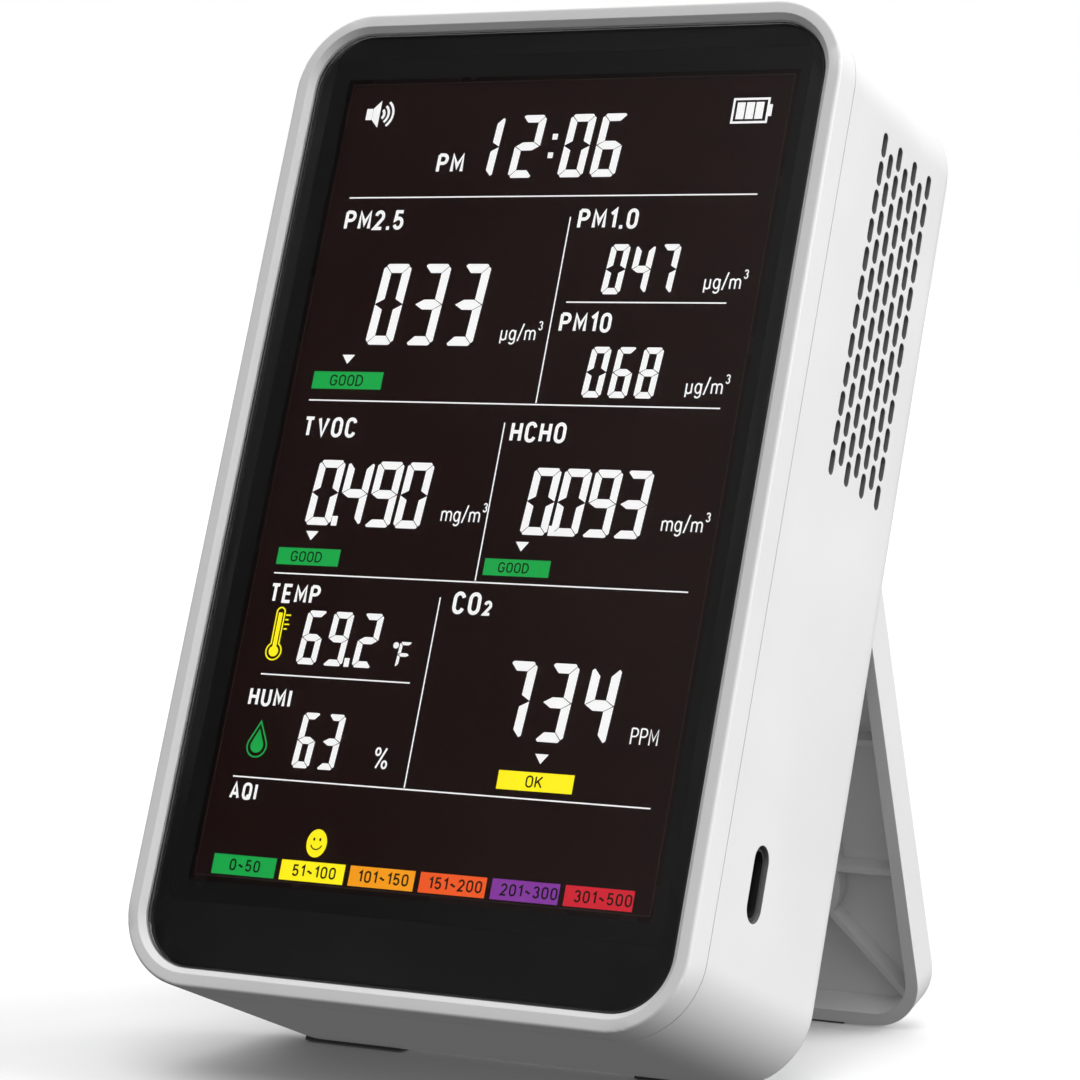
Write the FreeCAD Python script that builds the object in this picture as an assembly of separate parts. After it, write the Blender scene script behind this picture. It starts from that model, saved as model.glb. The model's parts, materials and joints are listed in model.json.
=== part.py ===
"""Desktop air quality monitor with a folding kickstand.

Every piece is drawn upright in the monitor's own axes: X runs across the
display to the viewer's right, Y runs from the display towards the back and Z
runs up the display, with the origin at the middle of the display window's
front face.  stand_on_ground() then leans the finished pieces back until the
rear foot pads and the kickstand's foot strip share one level surface, which
becomes z = 0.  All lengths are millimetres and all angles are degrees.
"""
import FreeCAD, Part
import math
import os

V = FreeCAD.Vector
X_AXIS = V(1, 0, 0)
Y_AXIS = V(0, 1, 0)
Z_AXIS = V(0, 0, 1)

# ---------------------------------------------------------------- display stack
WINDOW_WIDTH = 75.8            # cover glass
WINDOW_HEIGHT = 128.0
WINDOW_RADIUS = 7.6
WINDOW_THICK = 1.1
ADHESIVE_THICK = 0.3
WINDOW_GAP = 0.12              # gap between the glass edge and the front cover
LCD_WIDTH = WINDOW_WIDTH - 5.8
LCD_HEIGHT = 115.0
LCD_THICK = 2.4
LCD_MID_Z = 2.8                # the picture sits a little above the glass centre
LCD_BEHIND_GLASS = 0.8         # air gap between the glass and the LCD
LIGHT_GUIDE_THICK = 2.6
LCD_PIN_COUNT = 24
LCD_PIN_PITCH = 2.5
LCD_PIN_SIZE = 0.5
LCD_PIN_ZONE = 2.4             # strip at the LCD's lower edge that carries its pins

# ---------------------------------------------------------------- casing
BEZEL = 2.6                    # casing beyond the glass on every side
BODY_DEPTH = 39.0              # glass face to the back of the casing
RIM_PROUD = 0.8                # rim in front of the glass
BODY_RADIUS = 10.5
WALL = 2.0
RIM_FILLET = 0.45
RIM_CHAMFER = 0.75
BACK_FILLET = 5.0
SPLIT_Y = 3.8                  # joint line between front cover and rear case
SPLIT_GAP = 0.12
TONGUE_THICK = 0.9
TONGUE_DEPTH = 2.0
LEDGE_THICK = 1.6
FIT_GAP = 0.1                  # ordinary gap between two moulded parts
HOOK_XS = (-22.0, 0.0, 22.0)
HOOK_WIDTH = 6.0
HOOK_REACH = 2.6
HOOK_BARB = 0.5
HOOK_BARB_DEPTH = 1.0

# ---------------------------------------------------------------- side vents
VENT_COLUMNS = 7
VENT_ROWS = 12                 # a full column; every second column has one fewer
VENT_PITCH_Y = 2.44
VENT_PITCH_Z = 3.89
VENT_LENGTH = 3.3
VENT_WIDTH = 1.45
VENT_FIRST_Y = 14.9
VENT_TOP_Z = 53.0
BACK_VENT_COLUMNS = 11
BACK_VENT_ROWS = 5
BACK_VENT_PITCH_X = 3.4
BACK_VENT_TOP_Z = 50.0
FILTER_THICK = 0.8             # filter inside the casing's inner face
FILTER_SEAT = 1.1              # and how far it sits into its pocket in the side wall
FILTER_MARGIN = 1.4            # how far the dust filter reaches past its vents

# ---------------------------------------------------------------- kickstand
STAND_OPEN_ANGLE = 39.0
STAND_WIDTH = 76.4
STAND_THICK = 7.0
STAND_REACH = 68.0             # hinge axis to the foot
STAND_WALL = 1.8
STAND_RADIUS = 7.5
STAND_FILLET = 2.4
STAND_GAP = 0.35               # clearance round the folded stand
HINGE_Z = 4.4
STAND_WINDOW_WIDTH = 51.6
STAND_WINDOW_TOP = 20.0        # distance below the hinge axis
STAND_WINDOW_FOOT = 53.5
STAND_WINDOW_RADIUS = 5.0
STAND_LIP = 1.3
STAND_RIB = 1.0
STAND_RIB_DROPS = (27.0, 46.0)
STAND_RIB_HEIGHT = 2.4
LUG_MID_X = 22.0
LUG_WIDTH = 6.0
EAR_WIDTH = 4.0
HINGE_WASHER_THICK = 0.3
HINGE_SIDE_GAP = 0.05
HINGE_PIN_RADIUS = 1.5
HINGE_RUNNING_GAP = 0.05
HINGE_PRESS_GAP = 0.01
STRIP_WIDTH = 52.0
STRIP_PROUD = 0.5
STRIP_SUNK = 0.7
STRIP_THICK = 2.6
PAD_WIDTH = 15.0
PAD_MID_X = 25.0
PAD_PROUD = 0.3
PAD_SUNK = 0.8
PAD_ANGLES = (4.0, 40.0)       # spread round the lower back edge, from straight down

# ---------------------------------------------------------------- boards and power
BOARD_Y = 10.6
BOARD_THICK = 1.6
BOARD_WIDTH = WINDOW_WIDTH - 3.8
BOARD_TOP_Z = 58.0
BOARD_FOOT_Z = -55.2
BOARD_POST_X = BOARD_WIDTH / 2 - 2.8
BOARD_POST_ZS = (54.6, -52.0)
POST_RADIUS = 2.2
FRAME_WALL = 2.1
FRAME_BACK = 1.0
FRAME_RADIUS = 5.0
SMALL_SCREW_RADIUS = 0.8
SMALL_SCREW_LENGTH = 4.6
SMALL_HEAD_RADIUS = 1.6
SMALL_HEAD_HEIGHT = 1.1
CASE_SCREW_X = 30.0
CASE_SCREW_Z = -60.2
CASE_SCREW_RADIUS = 1.2
CASE_HEAD_RADIUS = 2.2
CASE_HEAD_HEIGHT = 1.5
CASE_BOSS_RADIUS = 3.0
CASE_BOSS_END_Y = 9.4
SCREW_GAP = 0.03
BATTERY_SIZE = (50.0, 10.0, 50.0)
BATTERY_MID_X = -2.0
BATTERY_MID_Z = -27.0
BATTERY_RADIUS = 3.0
BATTERY_TAPE = 1.0
LEAD_RADIUS = 0.6
LEAD_SPACING = 2.0
LEAD_BEND = 3.4
JST_SIZE = (8.0, 4.6, 5.2)
JST_Z = 5.6

# ---------------------------------------------------------------- USB-C socket
USB_Z = -44.4
USB_WIDTH = 8.94
USB_THICK = 3.26
USB_LENGTH = 7.3
USB_SHEET = 0.3
USB_RECESS = 0.5               # mouth behind the casing's outer face
USB_TONGUE = (6.7, 0.7, 4.9)
USB_SLOT_GAP = 0.4

# ---------------------------------------------------------------- particle sensor
SENSOR_FOOT_Z = 22.0
SENSOR_HEIGHT = 32.0
SENSOR_LEFT_X = 12.0
SENSOR_FRONT_Y = 13.2
SENSOR_BACK_Y = 35.8
SENSOR_WALL = 1.2
SENSOR_COVER = 0.8
FAN_DEPTH = 6.0
FAN_BORE_RADIUS = 10.2
FAN_TIP_GAP = 0.4
FAN_HUB_RADIUS = 4.4
FAN_HUB_DEPTH = 3.2
FAN_BLADES = 7
FAN_BLADE_THICK = 0.7
FAN_BLADE_ANGLE = 38.0
FAN_SPOKES = 3
FAN_SPOKE_WIDTH = 1.6
FAN_CUP_RADIUS = 3.6
FAN_CUP_DEPTH = 1.8
FAN_SHAFT_RADIUS = 0.6
FAN_BEARING_RADIUS = 1.6
LASER_RADIUS = 2.8
LASER_LENGTH = 8.0
DETECTOR_SIZE = (12.0, 1.0, 9.0)

# ---------------------------------------------------------------- gas sensors, buzzer
CO2_SIZE = (20.0, 7.0, 26.0)
CO2_MID = (-19.0, 41.0)
GAS_CELL_RADIUS = 7.5
GAS_CELL_HEIGHT = 8.5
GAS_CELL_MID = (-24.0, 17.0)
VOC_SIZE = (3.0, 1.0, 3.0)
VOC_MID = (-34.0, 40.0)
CLIMATE_SIZE = (2.6, 1.0, 2.6)
CLIMATE_MID = (-34.0, 47.5)
BUZZER_RADIUS = 6.0
BUZZER_HEIGHT = 5.2
BUZZER_MID = (-8.0, 17.0)
CHIPS = (                      # x, z, width, height, thickness on the board's back
    (10.0, -30.0, 12.0, 12.0, 1.4),
    (-12.0, -30.0, 9.0, 9.0, 1.2),
    (26.0, -30.0, 6.0, 5.0, 1.6),
    (-26.0, -12.0, 7.0, 5.0, 1.4),
    (12.0, -8.0, 5.0, 4.0, 1.2),
)

# ---------------------------------------------------------------- push-buttons
BUTTON_XS = (-21.0, -10.0, 1.0, 12.0)
BUTTON_NAMES = ("power_button", "set_button", "minus_button", "plus_button")
BUTTON_Z = 16.2
BUTTON_RADIUS = 2.7
BUTTON_HOLE_GAP = 0.2
BUTTON_PROUD = 0.6
BUTTON_TRAVEL = 0.4
BUTTON_FLANGE = 0.8
BUTTON_FLANGE_THICK = 0.6
BUTTON_CROWN = 0.35
SWITCH_SIZE = 4.0
SWITCH_THICK = 1.6
SWITCH_PLUNGER_RADIUS = 0.9
SWITCH_PLUNGER = 0.6
SWITCH_CLEARANCE = 0.05
KEY_BOARD_THICK = 1.2
KEY_BOARD_HEIGHT = 8.4
KEY_BOARD_MARGIN = 9.0
RIBBON_THICK = 0.3
RIBBON_WIDTH = 7.0

# ---------------------------------------------------------------- derived places
BODY_WIDTH = WINDOW_WIDTH + 2 * BEZEL
BODY_HEIGHT = WINDOW_HEIGHT + 2 * BEZEL
HALF_WIDTH = BODY_WIDTH / 2
HALF_HEIGHT = BODY_HEIGHT / 2
INNER_HALF_WIDTH = HALF_WIDTH - WALL
INNER_HALF_HEIGHT = HALF_HEIGHT - WALL
INNER_RADIUS = BODY_RADIUS - WALL
INNER_BACK_Y = BODY_DEPTH - WALL
LEDGE_Y = WINDOW_THICK + ADHESIVE_THICK
LEDGE_BACK_Y = LEDGE_Y + LEDGE_THICK
LCD_Y = WINDOW_THICK + LCD_BEHIND_GLASS
LCD_BACK_Y = LCD_Y + LCD_THICK
LCD_FOOT_Z = LCD_MID_Z - LCD_HEIGHT / 2
GUIDE_Y = LCD_BACK_Y + FIT_GAP
FRAME_PLATE_Y = GUIDE_Y + LIGHT_GUIDE_THICK + FIT_GAP
FRAME_BACK_Y = FRAME_PLATE_Y + FRAME_BACK
BOARD_BACK_Y = BOARD_Y + BOARD_THICK
HINGE_Y = BODY_DEPTH - FIT_GAP - STAND_THICK / 2
BARREL_RADIUS = STAND_THICK / 2
RECESS_FLOOR_Y = HINGE_Y - BARREL_RADIUS - STAND_GAP
RECESS_TOP_Z = HINGE_Z + BARREL_RADIUS + STAND_GAP
RECESS_FOOT_Z = HINGE_Z - STAND_REACH - STRIP_PROUD - STAND_GAP
RECESS_HALF_WIDTH = STAND_WIDTH / 2 + STAND_GAP
RECESS_INNER_Y = RECESS_FLOOR_Y - WALL
LUG_SLOT_HALF = LUG_WIDTH / 2 + HINGE_WASHER_THICK + 2 * HINGE_SIDE_GAP
EDGE_Y = BODY_DEPTH - BACK_FILLET      # centre line of the rounded lower back edge
EDGE_Z = -HALF_HEIGHT + BACK_FILLET
USB_Y = BOARD_BACK_Y + USB_THICK / 2
FAN_RIGHT_X = INNER_HALF_WIDTH - FILTER_THICK - 0.7
FAN_LEFT_X = FAN_RIGHT_X - FAN_DEPTH
FAN_Y = (SENSOR_FRONT_Y + SENSOR_BACK_Y) / 2
FAN_Z = SENSOR_FOOT_Z + SENSOR_HEIGHT / 2
FAN_SIDE = SENSOR_BACK_Y - SENSOR_FRONT_Y
BUTTON_BACK_Y = BODY_DEPTH + BUTTON_PROUD
FLANGE_Y = INNER_BACK_Y - FIT_GAP - BUTTON_FLANGE_THICK
PLUNGER_Y = FLANGE_Y - BUTTON_TRAVEL - SWITCH_CLEARANCE
SWITCH_Y = PLUNGER_Y - SWITCH_PLUNGER - SWITCH_THICK
KEY_BOARD_Y = SWITCH_Y - KEY_BOARD_THICK
KEY_BOARD_LEFT = BUTTON_XS[0] - KEY_BOARD_MARGIN
KEY_BOARD_RIGHT = BUTTON_XS[-1] + KEY_BOARD_MARGIN
KEY_POST_XS = (KEY_BOARD_LEFT + 2.6, KEY_BOARD_RIGHT - 2.6)


# ================================================================ shape helpers
def block(x_span, y_span, z_span):
    """Box between the low and high value on each axis."""
    low = V(x_span[0], y_span[0], z_span[0])
    return Part.makeBox(x_span[1] - x_span[0], y_span[1] - y_span[0], z_span[1] - z_span[0], low)


def rod_x(y, z, radius, x_span):
    """Round bar along X."""
    return Part.makeCylinder(radius, x_span[1] - x_span[0], V(x_span[0], y, z), X_AXIS)


def rod_y(x, z, radius, y_span):
    """Round bar along Y."""
    return Part.makeCylinder(radius, y_span[1] - y_span[0], V(x, y_span[0], z), Y_AXIS)


def rounded_outline(width, height, radius):
    """Closed wire of a rounded rectangle in the XZ plane, centred on the origin."""
    across = width / 2 - radius
    upward = height / 2 - radius
    edges = []
    corners = ((across, upward, 0), (-across, upward, 90), (-across, -upward, 180), (across, -upward, 270))
    arcs = []
    for centre_x, centre_z, start in corners:
        points = []
        for step in (0, 45, 90):
            angle = math.radians(start + step)
            points.append(V(centre_x + radius * math.cos(angle), 0, centre_z + radius * math.sin(angle)))
        arcs.append(points)
    for index, points in enumerate(arcs):
        edges.append(Part.Arc(*points).toShape())
        following = arcs[(index + 1) % 4][0]
        if points[2].distanceToPoint(following) > 1e-6:
            edges.append(Part.LineSegment(points[2], following).toShape())
    return Part.Wire(edges)


def rounded_plate(width, height, radius, y_span, mid_x=0.0, mid_z=0.0):
    """Rounded rectangle in XZ carried along Y."""
    face = Part.Face(rounded_outline(width, height, radius))
    plate = face.extrude(V(0, y_span[1] - y_span[0], 0))
    plate.translate(V(mid_x, y_span[0], mid_z))
    return plate


def rounded_ring(width, height, radius, thick, y_span, mid_z=0.0):
    """Frame whose outside is the rounded plate and whose bar is thick wide."""
    outside = rounded_plate(width, height, radius, y_span, mid_z=mid_z)
    inside = rounded_plate(width - 2 * thick, height - 2 * thick, max(radius - thick, 0.3), y_span,
                           mid_z=mid_z)
    return outside.cut(inside)


def slot_along(axis, length, width, span, first, second):
    """Obround bar along X or Y, its long side along Z, for cutting a vent or socket."""
    face = Part.Face(rounded_outline(width, length, width / 2 - 1e-4))
    bar = face.extrude(V(0, span[1] - span[0], 0))
    if axis == "x":
        bar.rotate(V(0, 0, 0), Z_AXIS, -90)
        bar.translate(V(span[0], first, second))
    else:
        bar.translate(V(first, span[0], second))
    return bar


def fillet_where(shape, radius, wanted):
    """Round every edge whose two ends and middle all pass the test."""
    chosen = []
    for edge in shape.Edges:
        middle = edge.valueAt((edge.FirstParameter + edge.LastParameter) / 2)
        points = [vertex.Point for vertex in edge.Vertexes] + [middle]
        if all(wanted(point) for point in points):
            chosen.append(edge)
    return shape.makeFillet(radius, chosen)


def chamfer_where(shape, size, wanted):
    """Bevel every edge whose two ends and middle all pass the test."""
    chosen = []
    for edge in shape.Edges:
        middle = edge.valueAt((edge.FirstParameter + edge.LastParameter) / 2)
        points = [vertex.Point for vertex in edge.Vertexes] + [middle]
        if all(wanted(point) for point in points):
            chosen.append(edge)
    return shape.makeChamfer(size, chosen)


def joined(shapes):
    """One solid from overlapping pieces."""
    return shapes[0].fuse(shapes[1:]).removeSplitter()


def mirrored(shape):
    """The same piece on the other side of the monitor."""
    return shape.mirror(V(0, 0, 0), X_AXIS)


def both_sides(shape):
    """Separate left and right copies of one piece."""
    return Part.Compound([shape, mirrored(shape)])


def vent_slots(columns, rows):
    """Column and drop of each slot: odd columns are one shorter and half a pitch lower."""
    for column in range(columns):
        odd = column % 2
        for row in range(rows - odd):
            yield column, row + 0.5 * odd


def turned_open(shape):
    """Swing a piece of the kickstand from its folded place to its open one."""
    swung = shape.copy()
    swung.rotate(V(0, HINGE_Y, HINGE_Z), X_AXIS, STAND_OPEN_ANGLE)
    return swung


# ================================================================ casing
def front_cover():
    """Rim and ledge that hold the glass, with a tongue, top hooks and two screw bosses."""
    shell = rounded_plate(BODY_WIDTH, BODY_HEIGHT, BODY_RADIUS, (-RIM_PROUD, SPLIT_Y))
    shell = fillet_where(shell, RIM_FILLET, lambda p: abs(p.y + RIM_PROUD) < 1e-5)
    pocket_width = WINDOW_WIDTH + 2 * WINDOW_GAP
    pocket_height = WINDOW_HEIGHT + 2 * WINDOW_GAP
    pocket_radius = WINDOW_RADIUS + WINDOW_GAP
    shell = shell.cut(rounded_plate(pocket_width, pocket_height, pocket_radius, (-RIM_PROUD, LEDGE_Y)))

    def on_inner_rim(point):
        inside = abs(point.x) < pocket_width / 2 + 1e-4 and abs(point.z) < pocket_height / 2 + 1e-4
        return inside and abs(point.y + RIM_PROUD) < 1e-5

    shell = chamfer_where(shell, RIM_CHAMFER, on_inner_rim)
    opening = rounded_plate(LCD_WIDTH + 4 * FIT_GAP, LCD_HEIGHT + 4 * FIT_GAP, 1.0,
                            (LEDGE_Y, LEDGE_BACK_Y), mid_z=LCD_MID_Z)
    hollow = rounded_plate(2 * INNER_HALF_WIDTH, 2 * INNER_HALF_HEIGHT, INNER_RADIUS, (LEDGE_BACK_Y, SPLIT_Y))
    shell = shell.cut([opening, hollow])
    inset = WALL - TONGUE_THICK
    tongue = rounded_ring(BODY_WIDTH - 2 * inset, BODY_HEIGHT - 2 * inset, BODY_RADIUS - inset,
                          TONGUE_THICK, (LEDGE_BACK_Y, SPLIT_Y + TONGUE_DEPTH))
    pieces = [shell, tongue]
    tongue_top = HALF_HEIGHT - inset
    for hook_x in HOOK_XS:
        span = (hook_x - HOOK_WIDTH / 2, hook_x + HOOK_WIDTH / 2)
        end_y = SPLIT_Y + TONGUE_DEPTH + HOOK_REACH
        pieces.append(block(span, (SPLIT_Y, end_y), (tongue_top - TONGUE_THICK, tongue_top)))
        pieces.append(block(span, (end_y - HOOK_BARB_DEPTH, end_y),
                            (tongue_top - 0.2, tongue_top + HOOK_BARB)))
    for side in (-1, 1):
        pieces.append(rod_y(side * CASE_SCREW_X, CASE_SCREW_Z, CASE_BOSS_RADIUS,
                            (LEDGE_BACK_Y - 0.4, CASE_BOSS_END_Y)))
    cover = joined(pieces)
    pilots = [rod_y(side * CASE_SCREW_X, CASE_SCREW_Z, CASE_SCREW_RADIUS + SCREW_GAP,
                    (LEDGE_BACK_Y, CASE_BOSS_END_Y)) for side in (-1, 1)]
    return cover.cut(pilots)


def display_window():
    """Flat cover glass with rounded corners and softened front edge."""
    glass = rounded_plate(WINDOW_WIDTH, WINDOW_HEIGHT, WINDOW_RADIUS, (0, WINDOW_THICK))
    return chamfer_where(glass, 0.2, lambda p: abs(p.y) < 1e-5)


def window_adhesive():
    """Thin tape ring that fixes the glass to the front cover's ledge."""
    outside = rounded_plate(WINDOW_WIDTH - 1.0, WINDOW_HEIGHT - 1.0, WINDOW_RADIUS - 0.5,
                            (WINDOW_THICK, LEDGE_Y))
    inside = rounded_plate(LCD_WIDTH + 1.2, LCD_HEIGHT + 1.2, 1.0, (WINDOW_THICK, LEDGE_Y), mid_z=LCD_MID_Z)
    return outside.cut(inside)


def rear_case():
    """Deep back shell with side vents, stand recess, hinge lugs and button holes."""
    front_y = SPLIT_Y + SPLIT_GAP
    outside = rounded_plate(BODY_WIDTH, BODY_HEIGHT, BODY_RADIUS, (front_y, BODY_DEPTH))
    outside = fillet_where(outside, BACK_FILLET, lambda p: abs(p.y - BODY_DEPTH) < 1e-5)
    cavity = rounded_plate(2 * INNER_HALF_WIDTH, 2 * INNER_HALF_HEIGHT, INNER_RADIUS, (front_y, INNER_BACK_Y))
    cavity = fillet_where(cavity, BACK_FILLET - WALL, lambda p: abs(p.y - INNER_BACK_Y) < 1e-5)
    inset = WALL - TONGUE_THICK - FIT_GAP
    rebate = rounded_plate(BODY_WIDTH - 2 * inset, BODY_HEIGHT - 2 * inset, BODY_RADIUS - inset,
                           (front_y, SPLIT_Y + TONGUE_DEPTH + FIT_GAP))
    shell = outside.cut([cavity, rebate])

    # the pocket that the folded stand lies in, with its own floor and top wall
    pocket_walls = block((-HALF_WIDTH, HALF_WIDTH), (RECESS_INNER_Y, BODY_DEPTH),
                         (-HALF_HEIGHT, RECESS_TOP_Z + WALL))
    shell = joined([shell, pocket_walls.common(outside)])
    pocket_height = RECESS_TOP_Z - RECESS_FOOT_Z
    pocket = rounded_plate(2 * RECESS_HALF_WIDTH, pocket_height + 20, STAND_RADIUS + STAND_GAP,
                           (RECESS_FLOOR_Y, BODY_DEPTH + 1), mid_z=RECESS_FOOT_Z + pocket_height / 2 + 10)
    pocket = pocket.common(block((-HALF_WIDTH, HALF_WIDTH), (0, BODY_DEPTH + 1),
                                 (-HALF_HEIGHT, RECESS_TOP_Z)))
    shell = shell.cut(pocket)

    additions = []
    for side in (-1, 1):
        lug_span = (side * LUG_MID_X - LUG_WIDTH / 2, side * LUG_MID_X + LUG_WIDTH / 2)
        lug_radius = BARREL_RADIUS - 0.2
        additions.append(rod_x(HINGE_Y, HINGE_Z, lug_radius, lug_span))
        additions.append(block(lug_span, (RECESS_FLOOR_Y - 0.5, HINGE_Y),
                               (HINGE_Z - lug_radius, HINGE_Z + lug_radius)))
        additions.append(rod_y(side * CASE_SCREW_X, CASE_SCREW_Z, CASE_BOSS_RADIUS,
                               (CASE_BOSS_END_Y + FIT_GAP, RECESS_INNER_Y + 0.5)))
    for post_x in KEY_POST_XS:
        additions.append(rod_y(post_x, BUTTON_Z, POST_RADIUS, (SWITCH_Y, INNER_BACK_Y + 0.5)))
    shell = joined([shell] + additions)

    cuts = []
    for side in (-1, 1):
        cuts.append(rod_x(HINGE_Y, HINGE_Z, HINGE_PIN_RADIUS + HINGE_PRESS_GAP,
                          (side * LUG_MID_X - LUG_WIDTH, side * LUG_MID_X + LUG_WIDTH)))
        cuts.append(rod_y(side * CASE_SCREW_X, CASE_SCREW_Z, CASE_SCREW_RADIUS + SCREW_GAP,
                          (CASE_BOSS_END_Y, RECESS_FLOOR_Y + 1)))
        cuts.append(rod_y(side * CASE_SCREW_X, CASE_SCREW_Z, CASE_HEAD_RADIUS + FIT_GAP,
                          (RECESS_FLOOR_Y - CASE_HEAD_HEIGHT, RECESS_FLOOR_Y + 1)))
        cuts.append(foot_pad_shape(side, 0.0))
    for column, drop in vent_slots(VENT_COLUMNS, VENT_ROWS):
        slot_y = VENT_FIRST_Y + column * VENT_PITCH_Y
        slot_z = VENT_TOP_Z - drop * VENT_PITCH_Z
        cuts.append(slot_along("x", VENT_LENGTH, VENT_WIDTH, (INNER_HALF_WIDTH - 1, HALF_WIDTH + 1), slot_y,
                               slot_z))
        cuts.append(slot_along("x", VENT_LENGTH, VENT_WIDTH, (-HALF_WIDTH - 1, 1 - INNER_HALF_WIDTH), slot_y,
                               slot_z))
    for column, drop in vent_slots(BACK_VENT_COLUMNS, BACK_VENT_ROWS):
        slot_x = (column - (BACK_VENT_COLUMNS - 1) / 2) * BACK_VENT_PITCH_X
        slot_z = BACK_VENT_TOP_Z - drop * VENT_PITCH_Z
        cuts.append(slot_along("y", VENT_LENGTH, VENT_WIDTH, (INNER_BACK_Y - 1, BODY_DEPTH + 1), slot_x,
                               slot_z))
    for side in (-1, 1):
        cuts.append(filter_outline(side, INNER_HALF_WIDTH - 0.5, INNER_HALF_WIDTH + FILTER_SEAT, FIT_GAP))
    slot_height = USB_WIDTH + 2 * USB_SLOT_GAP
    slot_depth = USB_THICK + 2 * USB_SLOT_GAP
    cuts.append(slot_along("x", slot_height, slot_depth, (INNER_HALF_WIDTH - 1, HALF_WIDTH + 1), USB_Y,
                           USB_Z))
    for button_x in BUTTON_XS:
        cuts.append(rod_y(button_x, BUTTON_Z, BUTTON_RADIUS + BUTTON_HOLE_GAP,
                          (INNER_BACK_Y - 0.5, BODY_DEPTH + 1)))
    for post_x in KEY_POST_XS:
        cuts.append(rod_y(post_x, BUTTON_Z, SMALL_SCREW_RADIUS + SCREW_GAP, (SWITCH_Y, INNER_BACK_Y)))
    catch_z = HALF_HEIGHT - (WALL - TONGUE_THICK)
    for hook_x in HOOK_XS:
        span = (hook_x - HOOK_WIDTH / 2 - FIT_GAP, hook_x + HOOK_WIDTH / 2 + FIT_GAP)
        hook_end = SPLIT_Y + TONGUE_DEPTH + HOOK_REACH
        cuts.append(block(span, (SPLIT_Y + TONGUE_DEPTH, hook_end + FIT_GAP),
                          (catch_z - WALL, catch_z + FIT_GAP)))
        cuts.append(block(span, (hook_end - HOOK_BARB_DEPTH - FIT_GAP, hook_end + FIT_GAP),
                          (catch_z - WALL, catch_z + HOOK_BARB + FIT_GAP)))
    return shell.cut(cuts)


def case_screws():
    """Two long self-tapping screws from the stand recess into the front cover."""
    head = rod_y(CASE_SCREW_X, CASE_SCREW_Z, CASE_HEAD_RADIUS,
                 (RECESS_FLOOR_Y - CASE_HEAD_HEIGHT, RECESS_FLOOR_Y))
    shank = rod_y(CASE_SCREW_X, CASE_SCREW_Z, CASE_SCREW_RADIUS, (LEDGE_BACK_Y + 1, RECESS_FLOOR_Y - 1))
    screw = joined([head, shank])
    screw = screw.cut([cross_slot(CASE_SCREW_X, CASE_SCREW_Z, RECESS_FLOOR_Y, 1.3)])
    return both_sides(screw)


def cross_slot(mid_x, mid_z, face_y, reach):
    """Cross recess for a screwdriver in a screw head that faces the back."""
    bar = block((mid_x - reach, mid_x + reach), (face_y - 0.8, face_y + 0.1), (mid_z - 0.3, mid_z + 0.3))
    post = block((mid_x - 0.3, mid_x + 0.3), (face_y - 0.8, face_y + 0.1), (mid_z - reach, mid_z + reach))
    return bar.fuse(post)


def filter_outline(side, inner_x, outer_x, room):
    """Sheet behind one side's vents, larger by room all round and stepped past the stand's recess."""
    depth = (VENT_COLUMNS - 1) * VENT_PITCH_Y
    height = (VENT_ROWS - 1) * VENT_PITCH_Z + VENT_LENGTH
    reach = FILTER_MARGIN + room
    low_y = VENT_FIRST_Y - VENT_WIDTH / 2 - reach
    high_y = VENT_FIRST_Y + depth + VENT_WIDTH / 2 + reach
    high_z = VENT_TOP_Z + VENT_LENGTH / 2 + reach
    low_z = high_z - height - 2 * reach
    span = sorted((side * inner_x, side * outer_x))
    sheet = block(span, (low_y, high_y), (low_z, high_z))
    pocket_corner = block(span, (RECESS_INNER_Y - FIT_GAP + room, BODY_DEPTH),
                          (low_z - 1, RECESS_TOP_Z + WALL + FIT_GAP - room))
    return sheet.cut(pocket_corner)


def side_filter(side):
    """Dust filter behind one side's vents, seated in a pocket of the side wall."""
    return filter_outline(side, INNER_HALF_WIDTH - FILTER_THICK, INNER_HALF_WIDTH + FILTER_SEAT, 0.0)


def foot_pad_shape(side, proud):
    """Rubber pad bent round the lower back edge; proud raises it above the casing."""
    span = (side * PAD_MID_X - PAD_WIDTH / 2, side * PAD_MID_X + PAD_WIDTH / 2)
    start = V(span[0], EDGE_Y, EDGE_Z)
    sweep = PAD_ANGLES[1] - PAD_ANGLES[0]
    outer = Part.makeCylinder(BACK_FILLET + (proud if proud else 1.0), PAD_WIDTH, start, X_AXIS, sweep)
    inner = Part.makeCylinder(BACK_FILLET - PAD_SUNK, PAD_WIDTH, start, X_AXIS, sweep)
    pad = outer.cut(inner)
    down = outer_start_angle(outer, start)
    pad.rotate(start, X_AXIS, PAD_ANGLES[0] - down)
    return pad


def outer_start_angle(sector, centre):
    """Angle from straight down, towards the back, at which a fresh sector begins."""
    middle = sector.CenterOfMass - V(sector.CenterOfMass.x, centre.y, centre.z)
    sweep = PAD_ANGLES[1] - PAD_ANGLES[0]
    return math.degrees(math.atan2(middle.y, -middle.z)) - sweep / 2


def base_foot_pads():
    """Two rubber pads that the monitor leans on."""
    return Part.Compound([foot_pad_shape(-1, PAD_PROUD), foot_pad_shape(1, PAD_PROUD)])


# ================================================================ kickstand
def stand_slab(shrink, y_span, top_z):
    """Stand's outline in XZ, shrunk all round, from its foot up to top_z."""
    width = STAND_WIDTH - 2 * shrink
    foot_z = HINGE_Z - STAND_REACH + shrink
    height = top_z + 20 - foot_z
    slab = rounded_plate(width, height, STAND_RADIUS - shrink, y_span, mid_z=foot_z + height / 2)
    return slab.common(block((-STAND_WIDTH, STAND_WIDTH), y_span, (foot_z, top_z)))


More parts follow.
